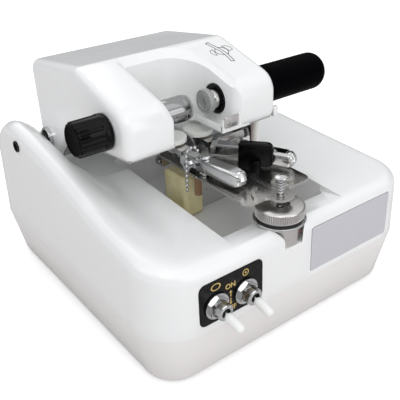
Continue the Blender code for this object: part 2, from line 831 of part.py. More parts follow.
def ledge_cutter(name, grow=0):
    """The wedge that lets the front ledge fall away towards the well."""
    fall = (LEDGE_DIP - TOP_SLOPE * (FRONT_LEDGE - LEDGE_START)) / (FRONT_LEDGE - LEDGE_START)
    start, end = LEDGE_START - OVERRUN, FRONT_LEDGE + OVERRUN
    crease = top_plane(LEDGE_START) - grow
    low = [(start, crease + fall * OVERRUN), (end, crease - fall * (end - LEDGE_START))]
    outline = low + [(end, HINGE_Z), (start, HINGE_Z)]
    left, right = WELL_LEFT_X - grow, WELL_RIGHT_X + grow
    return extruded(name, outline, right - left, ((left + right) / 2, 0, 0), "YZ", cutters)


def pocket_cutter(name, grow=0):
    radius = HOUSING_RADIUS + POCKET_CLEARANCE + grow
    start = FLANGE_Z - HOUSING_HEIGHT - GAP - grow
    return rod(name, radius, (DIAL_X, DIAL_Y, start), HINGE_Z - start, segments=12 if grow else 28,
               group=cutters)


def make_upper_shell():
    shell = loft("upper_shell", housing_rings(0, BELT_HEIGHT, EDGE_PIECES))
    hollow = loft("shell_cavity", housing_rings(WALL, BELT_HEIGHT - OVERRUN, EDGE_PIECES // 2, True),
                  cutters)
    cut(hollow, well_cutter("well_core", WALL), recess_cutter("recess_core", WALL))
    cut(hollow, ledge_cutter("ledge_core", WALL), pocket_cutter("pocket_core", WALL))
    boss = rod("ear_boss", BOSS_RADIUS, (-HALF_WIDTH, HINGE_Y, HINGE_Z), EAR_WIDTH, "X", segments=12,
               group=cutters)
    cut(hollow, boss)
    for number, (x, y) in enumerate(pillar_places()):
        start = BELT_HEIGHT - OVERRUN * 2
        pillar = rod(f"pillar_{number}", PILLAR_RADIUS, (x, y, start), HINGE_Z - start, segments=6,
                     group=cutters)
        cut(hollow, pillar)
    cut(shell, well_cutter("well"), recess_cutter("recess"), ledge_cutter("ledge"), pocket_cutter("pocket"))
    cut(shell, hollow)
    seat_radius = DIAL_RADIUS + FLANGE_MARGIN + GAP
    seat_start = FLANGE_Z - GAP
    cut(shell, rod("dial_seat", seat_radius, (DIAL_X, DIAL_Y, seat_start), HINGE_Z - seat_start,
                   segments=28,
                   group=cutters))
    cut(shell, face_piece("panel_seat", panel_plan(GAP), PANEL_SEAT + OVERRUN, PANEL_SEAT, cutters))
    cut(shell, face_piece("plate_seat", label_plan(GAP), PLATE_SEAT + OVERRUN, PLATE_SEAT, cutters))
    for number, x in enumerate(switch_places()):
        hole = rod(f"switch_hole_{number}", SWITCH_BUSHING_RADIUS + GAP, (x, -OVERRUN, SWITCH_Z),
                   WALL + OVERRUN * 2,
                   "Y", segments=12, group=cutters)
        cut(shell, hole)
    slot_low = (PULLEY_X - SLOT_SIDE, WHEEL_Y - MOTOR_PULLEY_RADIUS - BELT_SLOT_MARGIN,
                WELL_FLOOR - WALL - OVERRUN)
    slot_high = (PULLEY_X + PULLEY_WIDTH + SLOT_SIDE, WHEEL_Y + MOTOR_PULLEY_RADIUS + BELT_SLOT_MARGIN,
                 HINGE_Z)
    cut(shell, box("belt_slot", slot_low, slot_high, cutters))
    seat_y = DEPTH - REAR_SEAT
    inlet_low = (INLET_X - INLET_WIDTH / 2 - INLET_LIP - GAP, seat_y,
                 INLET_Z - INLET_HEIGHT / 2 - INLET_LIP - GAP)
    inlet_high = (FUSE_X + FUSE_RADIUS + FUSE_RIM + INLET_LIP, DEPTH + OVERRUN,
                  INLET_Z + INLET_HEIGHT / 2 + INLET_LIP + GAP)
    cut(shell, box("rear_seat", inlet_low, inlet_high, cutters))
    hole_low = (INLET_X - INLET_WIDTH / 2 - GAP, seat_y - WALL - OVERRUN, INLET_Z - INLET_HEIGHT / 2 - GAP)
    hole_high = (INLET_X + INLET_WIDTH / 2 + GAP, DEPTH, INLET_Z + INLET_HEIGHT / 2 + GAP)
    cut(shell, box("inlet_hole", hole_low, hole_high, cutters))
    cut(shell, rod("fuse_hole", FUSE_RADIUS + GAP, (FUSE_X, DEPTH - WALL * 2 - REAR_SEAT, INLET_Z),
                   WALL * 2 + OVERRUN, "Y", segments=12, group=cutters))
    ear = RIGHT_EAR_LENGTH / 2
    base = [(y, top_plane(y) - WALL / 2) for y in (HINGE_Y - ear, HINGE_Y + ear)]
    outline = base + arc((HINGE_Y, HINGE_Z), BOSS_RADIUS, math.radians(35), math.radians(145), 6)
    middle = RIGHT_EAR_X + RIGHT_EAR_WIDTH / 2
    right_ear = extruded("right_ear", outline, RIGHT_EAR_WIDTH, (middle, 0, 0), "YZ", cutters)
    soften(right_ear, EDGE_BREAK, 1)
    join(shell, right_ear)
    hole = HINGE_SHAFT_RADIUS + GAP
    reach = RIGHT_EAR_X + RIGHT_EAR_WIDTH + HALF_WIDTH + OVERRUN * 2
    cut(shell, rod("hinge_hole", hole, (-HALF_WIDTH - OVERRUN, HINGE_Y, HINGE_Z), reach, "X", segments=10,
                   group=cutters))
    cut(shell, rod("left_counterbore", HINGE_COUNTERBORE, (-HALF_WIDTH - OVERRUN, HINGE_Y, HINGE_Z),
                   OVERRUN + SCREW_SEAT, "X", segments=14, group=cutters))
    right_seat = RIGHT_EAR_X + RIGHT_EAR_WIDTH - SCREW_SEAT / 2
    cut(shell, rod("right_counterbore", HINGE_COUNTERBORE, (right_seat, HINGE_Y, HINGE_Z),
                   OVERRUN + SCREW_SEAT, "X",
                   segments=14, group=cutters))
    white(shell)
    return shell


def pillar_places():
    near, far = PILLAR_INSET, DEPTH - PILLAR_INSET
    side = HALF_WIDTH - PILLAR_INSET
    return [(-side, near), (side, near), (side, far), (-side, far)]


def panel_plan(grow=0):
    return rectangle(-PANEL_LEFT - grow, PANEL_BOTTOM - BELT_HEIGHT - grow, PANEL_WIDTH + grow * 2,
                     PANEL_HEIGHT + grow * 2, PANEL_CORNER + grow, 3)


def label_plan(grow=0):
    return rectangle(PLATE_LABEL_LEFT - grow, PLATE_LABEL_BOTTOM - BELT_HEIGHT - grow,
                     PLATE_LABEL_WIDTH + grow * 2,
                     PLATE_LABEL_HEIGHT + grow * 2, PLATE_LABEL_CORNER + grow, 2)


def face_piece(name, plan, thickness, depth, group=None):
    """A flat piece that lies in the leaning front face, its back at the depth given."""
    return extruded(name, plan, thickness, (0, depth - thickness / 2, BELT_HEIGHT), FACE_TURN, group)


def switch_places():
    middle = PANEL_WIDTH / 2 - PANEL_LEFT - SWITCH_SHIFT
    return (middle - SWITCH_SPACING / 2, middle + SWITCH_SPACING / 2)


def make_lower_tray():
    def rings(shrink, bottom, top):
        flat, low = TRAY_INSET + TRAY_EDGE, bottom + TRAY_EDGE
        return [
            [(x, y, bottom) for x, y in housing_outline(flat + shrink / 2, shrink > 0, True)],
            [(x, y, low) for x, y in housing_outline(TRAY_INSET + shrink, shrink > 0, True)],
            [(x, y, top) for x, y in housing_outline(shrink, shrink > 0, True)],
        ]

    tray = loft("lower_tray", rings(0, FOOT_HEIGHT, BELT_HEIGHT - GAP))
    cut(tray, loft("tray_cavity", rings(WALL, FOOT_HEIGHT + WALL, BELT_HEIGHT + OVERRUN), cutters))
    start = FOOT_HEIGHT + WALL / 2
    for number, (x, y) in enumerate(pillar_places()):
        join(tray, rod(f"tray_boss_{number}", PILLAR_RADIUS, (x, y, start), BELT_HEIGHT - GAP - start,
                       segments=8,
                       group=cutters))
        cut(tray, rod(f"tray_bore_{number}", SCREW_RADIUS + GAP, (x, y, 0), BELT_HEIGHT + OVERRUN,
                      segments=8,
                      group=cutters))
        cut(tray, rod(f"tray_seat_{number}", SCREW_HEAD_RADIUS + GAP, (x, y, 0), FOOT_HEIGHT + WALL,
                      segments=10,
                      group=cutters))
    for number, (x, y) in enumerate(foot_places()):
        join(tray, rod(f"foot_{number}", FOOT_RADIUS - EDGE_BREAK, (x, y, 0), start, segments=12,
                       far_radius=FOOT_RADIUS, group=cutters))
    white(tray)
    return tray


def foot_places():
    near = FOOT_INSET + FOOT_RADIUS
    side, far = HALF_WIDTH - near, DEPTH - near
    return [(-side, near), (side, near), (side, far), (-side, far)]


def make_front():
    """The switch panel, the plain plate and the two toggle switches."""
    panel = face_piece("switch_panel", panel_plan(), PANEL_THICKNESS, PANEL_SEAT - GAP)
    label = face_piece("label_plate", label_plan(), PLATE_LABEL_THICKNESS, PLATE_SEAT - GAP)
    black(panel)
    paint(label, (0.68, 0.68, 0.73), 0.4, 0.3)
    hang("root", panel, label)
    lean = DRAFT_SLOPE * (SWITCH_Z - SWITCH_WASHER_RADIUS - BELT_HEIGHT)
    face = lean + PANEL_SEAT - GAP - PANEL_THICKNESS
    for name, x in zip(("lens", "wheel"), switch_places()):
        cut(panel, rod(f"{name}_panel_hole", SWITCH_BUSHING_RADIUS + GAP, (x, -OVERRUN, SWITCH_Z),
                       OVERRUN * 2, "Y",
                       group=cutters))
        bore = SWITCH_BUSHING_RADIUS + GAP
        nut_y = face - GAP - SWITCH_WASHER_THICKNESS - SWITCH_NUT_HEIGHT
        nut = rod(f"{name}_switch_nut", SWITCH_NUT_RADIUS, (x, nut_y, SWITCH_Z),
                  SWITCH_NUT_HEIGHT + EDGE_BREAK / 2,
                  "Y", segments=6)
        join(nut, rod(f"{name}_switch_washer", SWITCH_WASHER_RADIUS, (x, nut_y + SWITCH_NUT_HEIGHT,
                                                                      SWITCH_Z),
                      SWITCH_WASHER_THICKNESS, "Y", segments=20, group=cutters))
        cut(nut, rod(f"{name}_nut_bore", bore, (x, nut_y - OVERRUN, SWITCH_Z), OVERRUN * 3, "Y",
                     group=cutters))
        case_y = WALL + DRAFT_SLOPE * (SWITCH_Z + SWITCH_BODY_HEIGHT / 2 - BELT_HEIGHT) + GAP
        body = box(f"{name}_switch_body",
                   (x - SWITCH_BODY_WIDTH / 2, case_y, SWITCH_Z - SWITCH_BODY_HEIGHT / 2),
                   (x + SWITCH_BODY_WIDTH / 2, case_y + SWITCH_BODY_DEPTH,
                    SWITCH_Z + SWITCH_BODY_HEIGHT / 2))
        bush = rod(f"{name}_bushing", SWITCH_BUSHING_RADIUS, (x, -SWITCH_BUSHING_REACH, SWITCH_Z),
                   SWITCH_BUSHING_REACH + case_y + WALL, "Y", group=cutters)
        mouth = rod(f"{name}_mouth", SWITCH_MOUTH_RADIUS, (x, -SWITCH_BUSHING_REACH - OVERRUN, SWITCH_Z),
                    OVERRUN + SWITCH_MOUTH_DEPTH, "Y", segments=12, group=cutters)
        join(body, bush)
        cut(body, mouth)
        for number in (-1, 0, 1):
            z = SWITCH_Z + number * SWITCH_BODY_HEIGHT / 4
            pin_low = (x - SWITCH_PIN_WIDTH, case_y + SWITCH_BODY_DEPTH - EDGE_BREAK, z - EDGE_BREAK / 2)
            pin_high = (x + SWITCH_PIN_WIDTH, case_y + SWITCH_BODY_DEPTH + SWITCH_PIN_LENGTH,
                        z + EDGE_BREAK / 2)
            join(body, box(f"{name}_pin_{number}", pin_low, pin_high, cutters))
        chrome(nut)
        black(body)
        hang("root", nut, body)
        pivot = f"{name}_switch_pivot"
        pivot_y = SWITCH_MOUTH_DEPTH / 2 - SWITCH_BUSHING_REACH
        add_pivot(pivot, (x, pivot_y, SWITCH_Z), "root")
        turn = (math.pi / 2 - LEVER_TILT, 0, 0)
        start = (x, pivot_y, SWITCH_Z)
        lever = turned(f"{name}_switch_lever",
                       [(0, LEVER_LENGTH), (LEVER_TIP_RADIUS, LEVER_LENGTH), (LEVER_ROOT_RADIUS, 0),
                        (0, -LEVER_ROOT_RADIUS)], start, turn, 12)
        low, high = LEVER_LENGTH - SLEEVE_LENGTH, LEVER_LENGTH + GAP
        bore = LEVER_TIP_RADIUS + GAP
        sleeve = turned(f"{name}_lever_sleeve",
                        [(0, high + SLEEVE_END), (SLEEVE_TIP_RADIUS - SLEEVE_END, high + SLEEVE_END),
                         (SLEEVE_TIP_RADIUS, high), (SLEEVE_RADIUS, low + SLEEVE_END), (SLEEVE_RADIUS, low),
                         (bore, low), (bore, high), (0, high)], start, turn, 14)
        chrome(lever)
        white(sleeve)
        hang(pivot, lever, sleeve)


def make_dial():
    """The depth dial between its housing and the guide plate's tongue."""
    low = FLANGE_Z - HOUSING_HEIGHT
    bore = SPINDLE_RADIUS + RUN
    flange = DIAL_RADIUS + FLANGE_MARGIN
    top = HOUSING_HEIGHT + FLANGE_HEIGHT
    housing = turned("dial_housing",
                     [(flange, top), (flange, HOUSING_HEIGHT), (HOUSING_RADIUS, HOUSING_HEIGHT),
                      (HOUSING_RADIUS, 0),
                      (bore, 0), (bore, top)], (DIAL_X, DIAL_Y, low), steps=24, closed=True)
    washer_z = FLANGE_Z + FLANGE_HEIGHT + GAP
    washer = tube("dial_washer", DIAL_WASHER_RADIUS, bore, (DIAL_X, DIAL_Y, washer_z),
                  DIAL_WASHER_HEIGHT - GAP,
                  steps=20)
    edge = DIAL_EDGE
    stations = [(0, DIAL_RADIUS - edge, 0), (edge, DIAL_RADIUS, 1), (DIAL_HEIGHT - edge, DIAL_RADIUS, 1),
                (DIAL_HEIGHT, DIAL_RADIUS - edge, 0)]
    dial = loft("depth_dial", fluted_rings(DIAL_FLUTES, DIAL_FLUTE_SHARES, DIAL_FLUTE_DEPTH, stations))
    dial.location = (DIAL_X, DIAL_Y, DIAL_Z)
    well = turned("dial_bore",
                  [(0, OVERRUN), (DIAL_RECESS_RADIUS, OVERRUN), (DIAL_RECESS_RADIUS, -DIAL_RECESS_DEPTH),
                   (bore, -DIAL_RECESS_DEPTH), (bore, -DIAL_HEIGHT - OVERRUN), (0, -DIAL_HEIGHT - OVERRUN)],
                  (DIAL_X, DIAL_Y, DIAL_TOP), steps=14, group=cutters)
    cut(dial, well)
    foot = low + HOUSING_HEIGHT / 2
    collar_top = PLATE_Z - GAP
    cap_low = PLATE_TOP + GAP + SPINDLE_SPRING_HEIGHT + GAP
    profile = [(0, cap_low + SPINDLE_CAP_HEIGHT - foot),
               (SPINDLE_CAP_RADIUS - EDGE_BREAK, cap_low + SPINDLE_CAP_HEIGHT - foot),
               (SPINDLE_CAP_RADIUS, cap_low + SPINDLE_CAP_HEIGHT / 2 - foot), (SPINDLE_CAP_RADIUS,
                                                                               cap_low - foot),
               (SPINDLE_RADIUS, cap_low - foot), (SPINDLE_RADIUS, collar_top - foot),
               (SPINDLE_COLLAR_RADIUS, collar_top - foot),
               (SPINDLE_COLLAR_RADIUS, collar_top - SPINDLE_COLLAR_HEIGHT - foot),
               (SPINDLE_RADIUS, collar_top - SPINDLE_COLLAR_HEIGHT - foot), (SPINDLE_RADIUS, 0), (0, 0)]
    spindle = turned("depth_spindle", profile, (DIAL_X, DIAL_Y, foot), steps=12)
    coils = SPINDLE_SPRING_TURNS * SPRING_POINTS
    start, travel = PLATE_TOP + GAP + SPINDLE_SPRING_WIRE, SPINDLE_SPRING_HEIGHT - SPINDLE_SPRING_WIRE * 2
    points = []
    for number in range(coils + 1):
        angle = math.tau * number / SPRING_POINTS
        points.append((DIAL_X + SPINDLE_SPRING_RADIUS * math.cos(angle),
                       DIAL_Y + SPINDLE_SPRING_RADIUS * math.sin(angle), start + travel * number / coils))
    spring = wire("spindle_spring", points, SPINDLE_SPRING_WIRE)
    print("spring gap mm", coil_gap(points, SPINDLE_SPRING_WIRE, SPRING_POINTS))
    for item in (housing, dial, spring):
        steel(item)
    black(washer)
    chrome(spindle)
    add_pivot("dial_pivot", (DIAL_X, DIAL_Y, DIAL_Z), "root")
    add_pivot("spindle_slide", (DIAL_X, DIAL_Y, foot), "root")
    hang("root", housing, washer)
    hang("dial_pivot", dial)
    hang("spindle_slide", spindle, spring)


def coil_gap(points, radius, turn):
    """The least gap in millimetres between a wire and itself a turn away."""
    places = [Vector(point) for point in points]
    gaps = [(places[a] - places[b]).length for a in range(len(places)) for b in range(a + turn - 2,
                                                                                      len(places))]
    return round((min(gaps) - radius * 2) * MILLIMETRES, 3)


def make_plate():
    """The guide plate: tongue over the dial, wide field, left strip with its hinge lug, stamped ribs."""
    tongue = PLATE_TONGUE_WIDTH / 2
    rear = PLATE_FRONT + PLATE_FIELD
    strip = PLATE_STRIP - PLATE_LEFT
    step = PLATE_FRONT + PLATE_STEP
    corners = [(-PLATE_LEFT, PLATE_FRONT), (DIAL_X - tongue, PLATE_FRONT), (DIAL_X - tongue,
                                                                            DIAL_Y - tongue),
               (DIAL_X + tongue, DIAL_Y - tongue), (DIAL_X + tongue, step), (PLATE_RIGHT, step),
               (PLATE_RIGHT, rear), (strip, rear), (strip, PIVOT_Y + LUG_REACH), (-PLATE_LEFT,
                                                                                  PIVOT_Y + LUG_REACH)]
    edge = PLATE_CORNER
    radii = [edge, edge / 2, tongue - EDGE_BREAK, tongue - EDGE_BREAK, edge / 2, edge, edge, edge, 0, 0]
    plan = rounded(corners, radii, 3)
    plate = extruded("guide_plate", plan, PLATE_THICKNESS, (0, 0, PLATE_Z + PLATE_THICKNESS / 2))
    inner, outer = RIB_RADIUS, RIB_RADIUS + RIB_WIDTH
    for number, (first, last) in enumerate(RIB_ARC_SHARES):
        first, last = math.tau * first, math.tau * last
        centre = (DIAL_X, DIAL_Y)
        band = arc(centre, outer, first, last, 5) + arc(centre, inner, last, first, 5)
        height = RIB_HEIGHT + PLATE_THICKNESS / 2
        rib = extruded(f"rib_{number}", band, height, (0, 0, PLATE_Z + PLATE_THICKNESS / 2 + height / 2),
                       "XY",
                       cutters)
        join(plate, rib)
    lug_low = (GAP - PLATE_LEFT, PIVOT_Y - LUG_REACH, PIVOT_Z - LUG_REACH)
    lug_high = (strip - GAP, PIVOT_Y + LUG_REACH - GAP, PLATE_Z + PLATE_THICKNESS / 2)
    lug = box("plate_lug", lug_low, lug_high, cutters)
    join(plate, lug)
    cut(plate, rod("lug_bore", PIVOT_PIN_RADIUS + GAP, (-PLATE_LEFT - OVERRUN, PIVOT_Y, PIVOT_Z),
                   PLATE_STRIP + OVERRUN * 2, "X", segments=8, group=cutters))
    cut(plate, rod("tongue_hole", SPINDLE_RADIUS + RUN, (DIAL_X, DIAL_Y, PLATE_Z - OVERRUN), OVERRUN * 2,
                   segments=8, group=cutters))
    guide_x = -STOP_PIN_X
    for number, x in enumerate((left_pivot_x(), right_pivot_x())):
        cut(plate, rod(f"arm_pivot_hole_{number}", PIVOT_STUD_RADIUS + GAP, (x, ARM_PIVOT_Y,
                                                                             PLATE_Z - OVERRUN),
                       OVERRUN * 2, segments=8, group=cutters))
    cut(plate, rod("guide_pin_hole", PIVOT_STUD_RADIUS - GAP, (guide_x, STOP_PIN_Y, PLATE_Z - OVERRUN),
                   OVERRUN * 2,
                   segments=8, group=cutters))
    cut(plate, rod("lever_foot_hole", LEVER_FOOT_RADIUS / 2 + GAP, (LEVER_X, LEVER_Y, PLATE_Z - OVERRUN),
                   OVERRUN * 2, segments=8, group=cutters))
    chrome(plate)
    pin_length = PLATE_LEFT + SPINDLE_BLOCK_LEFT_X + PIN_SEAT
    pin = turned("plate_pivot_pin",
                 [(0, pin_length), (PIVOT_PIN_RADIUS, pin_length), (PIVOT_PIN_RADIUS, 0),
                  (PIN_HEAD_RADIUS, 0), (PIN_HEAD_RADIUS, -PIN_HEAD_HEIGHT), (0, -PIN_HEAD_HEIGHT)],
                 (-PLATE_LEFT - GAP, PIVOT_Y, PIVOT_Z), "X", 12)
    steel(pin)
    guide = turned("plate_guide_pin",
                   [(0, STOP_PIN_LENGTH + PLATE_THICKNESS + GAP), (PIVOT_STUD_RADIUS - GAP * 2,
                                                                    STOP_PIN_LENGTH + PLATE_THICKNESS + GAP),
                    (PIVOT_STUD_RADIUS - GAP * 2, STOP_PIN_LENGTH), (STOP_PIN_RADIUS, STOP_PIN_LENGTH),
                    (STOP_PIN_RADIUS, 0), (0, 0)],
                   (guide_x, STOP_PIN_Y, PLATE_Z - GAP - STOP_PIN_LENGTH), steps=20)
    paint(guide, (0.35, 0.2, 0.1), 0.5)
    add_pivot("plate_pivot", (-PLATE_LEFT, PIVOT_Y, PIVOT_Z), "root")
    hang("plate_pivot", plate, guide)
    hang("root", pin)


def left_pivot_x():
    return LENS_X - LEFT_ARM_OFFSET


def right_pivot_x():
    return LENS_X + RIGHT_ARM_OFFSET


def roller_x(side):
    return LENS_X + side * (LENS_GAP / 2 + ROLLER_RADIUS)


def make_arms():
    """Two guide arms on the plate, each with a ball at the front and a roller at the rear."""
    for name, side, pivot_x, front_x in (("left", -1, left_pivot_x(), LEFT_ARM_FRONT_X),
                                         ("right", 1, right_pivot_x(), RIGHT_ARM_FRONT_X)):
        rear_x, half = roller_x(side), ARM_WIDTH / 2
        spine = [Vector((front_x, ARM_FRONT_Y)), Vector((pivot_x, ARM_PIVOT_Y)), Vector((rear_x,
                                                                                         ARM_REAR_Y))]
        across = []
        for number in range(len(spine)):
            along = (spine[min(number + 1, 2)] - spine[max(number - 1, 0)]).normalized()
            across.append(Vector((along.y, -along.x)) * half)
        right_side = [tuple(place + off) for place, off in zip(spine, across)]
        left_side = [tuple(place - off) for place, off in zip(spine, across)]
        outline = right_side + left_side[::-1]
        bar = extruded(f"{name}_arm", outline, ARM_HEIGHT, (0, 0, ARM_Z + ARM_HEIGHT / 2))
        soften(bar, ARM_CHAMFER, 1)
        join(bar, ball(f"{name}_ball", BALL_RADIUS, (front_x, ARM_FRONT_Y - EDGE_BREAK,
                                                     ARM_Z + ARM_HEIGHT / 2),
                       group=cutters))
        tongue_z = ARM_TOP + TONGUE_RISE - ARM_TONGUE_HEIGHT
        back = ARM_REAR_Y - half
        tongue_plan = [(rear_x + half, back), *arc((rear_x, ROLLER_Y), half, 0, math.pi, 8), (rear_x - half,
                                                                                              back)]
        tongue = extruded(f"{name}_tongue", tongue_plan, ARM_TONGUE_HEIGHT,
                          (0, 0, tongue_z + ARM_TONGUE_HEIGHT / 2), "XY", cutters)
        stud = rod(f"{name}_roller_stud", ROLLER_HUB_RADIUS, (rear_x, ROLLER_Y,
                                                              tongue_z + ARM_TONGUE_HEIGHT / 2),
                   ROLLER_Z + ROLLER_THICKNESS - ROLLER_SKIN - GAP - tongue_z - ARM_TONGUE_HEIGHT / 2,
                   segments=10,
                   group=cutters)
        join(bar, tongue, stud)
        if side < 0:
            collar_x = (pivot_x + rear_x) / 2 - half - COLLAR_REACH
            collar_y = (ARM_PIVOT_Y + ARM_REAR_Y) / 2
            join(bar, tube("arm_collar", COLLAR_RING_RADIUS, PIVOT_STUD_RADIUS,
                           (collar_x, collar_y, ARM_Z + COLLAR_RING_RADIUS / 2), COLLAR_REACH + half / 2,
                           "X", 12,
                           cutters))
        bore = rod(f"{name}_arm_bore", PIVOT_STUD_RADIUS + GAP, (pivot_x, ARM_PIVOT_Y, ARM_Z - OVERRUN),
                   ARM_HEIGHT + OVERRUN * 2, segments=10, group=cutters)
        cut(bar, bore)
        chrome(bar)
        bottom = PLATE_Z - GAP - PIVOT_HEAD_HEIGHT
        spacer_low, spacer_high = PLATE_TOP + GAP - bottom, ARM_Z - GAP - bottom
        head_low = ARM_TOP + GAP - bottom
        head_top = head_low + PIVOT_HEAD_HEIGHT
        profile = [(0, head_top), (PIVOT_HEAD_RADIUS - EDGE_BREAK, head_top),
                   (PIVOT_HEAD_RADIUS, head_top - EDGE_BREAK), (PIVOT_HEAD_RADIUS, head_low),
                   (PIVOT_STUD_RADIUS, head_low), (PIVOT_STUD_RADIUS, spacer_high),
                   (PIVOT_SPACER_RADIUS, spacer_high), (PIVOT_SPACER_RADIUS, spacer_low),
                   (PIVOT_STUD_RADIUS, spacer_low), (PIVOT_STUD_RADIUS, 0), (0, 0)]
        screw = turned(f"{name}_arm_stud", profile, (pivot_x, ARM_PIVOT_Y, bottom), steps=12)
        steel(screw)
        hang("plate_pivot", screw)
        pivot = f"{name}_arm_pivot"
        add_pivot(pivot, (pivot_x, ARM_PIVOT_Y, ARM_Z), "plate_pivot")
        hang(pivot, bar)
        roller = turned(f"{name}_roller",
                        [(0, ROLLER_THICKNESS), (ROLLER_RADIUS - ROLLER_EDGE, ROLLER_THICKNESS),
                         (ROLLER_RADIUS, ROLLER_THICKNESS - ROLLER_EDGE), (ROLLER_RADIUS, 0),
                         (ROLLER_HUB_RADIUS + GAP, 0),
                         (ROLLER_HUB_RADIUS + GAP, ROLLER_THICKNESS - ROLLER_SKIN),
                         (0, ROLLER_THICKNESS - ROLLER_SKIN)], (rear_x, ROLLER_Y, ROLLER_Z), steps=28)
        nylon(roller)
        add_pivot(f"{name}_roller_pivot", (rear_x, ROLLER_Y, ROLLER_Z), pivot)
        hang(f"{name}_roller_pivot", roller)


def make_lever_and_chain():
    length, back = LEVER_BLADE_LENGTH, LEVER_BLADE_LENGTH * LEVER_BLADE_BACK_SHARE
    low, high = 0, LEVER_BLADE_HEIGHT
    corners = [(-back, low), (length - back, low), (length - back, high), (-back, high)]
    plan = rounded(corners, [EDGE_BREAK, LEVER_BLADE_CORNER, LEVER_BLADE_CORNER, EDGE_BREAK * 2], 4)
    blade_z = PLATE_TOP + LEVER_FOOT_HEIGHT
    blade = extruded("opening_lever", plan, LEVER_BLADE_THICKNESS, (LEVER_X, LEVER_Y, blade_z),
                     (math.pi / 2, 0, LEVER_ANGLE))
    soften(blade, EDGE_BREAK, 1)
    foot = rod("lever_foot", LEVER_FOOT_RADIUS, (LEVER_X, LEVER_Y, PLATE_TOP + RUN), LEVER_FOOT_HEIGHT,
               segments=14,
               group=cutters)
    spigot = rod("lever_spigot", LEVER_FOOT_RADIUS / 2, (LEVER_X, LEVER_Y, PLATE_Z - PIVOT_HEAD_HEIGHT),
                 LEVER_FOOT_HEIGHT, segments=10, group=cutters)
    join(blade, foot, spigot)
    black(blade)
    add_pivot("lever_pivot", (LEVER_X, LEVER_Y, PLATE_TOP), "plate_pivot")
    hang("lever_pivot", blade)
    start_x = left_pivot_x() - EDGE_BREAK
    chain_y = ARM_PIVOT_Y + CHAIN_OFFSET
    low_z = ARM_TOP + GAP + BEAD_RADIUS
    centre = (start_x - CHAIN_BEND, low_z)
    bend = math.pi * CHAIN_BEND
    total = bend + CHAIN_DROP
    beads = int(total / BEAD_PITCH)
    points, widths = [], []
    for bead in range(beads):
        middle = BEAD_PITCH * bead + BEAD_RADIUS
        for share in BEAD_POINT_SHARES:
            along = middle + BEAD_RADIUS * share
            if along <= bend:
                angle = along / CHAIN_BEND
                points.append((centre[0] + CHAIN_BEND * math.cos(angle), chain_y,
                               centre[1] + CHAIN_BEND * math.sin(angle)))
            else:
                points.append((centre[0] - CHAIN_BEND, chain_y, low_z - (along - bend)))
            round_width = math.sqrt(max(0, 1 - share * share))
            widths.append(max(round_width, CHAIN_WIRE / BEAD_RADIUS))
    chain = wire("bead_chain", points, BEAD_RADIUS, widths)
    chrome(chain)
    add_pivot("chain_pivot", (centre[0], chain_y, low_z + CHAIN_BEND), "left_arm_pivot")
    hang("chain_pivot", chain)


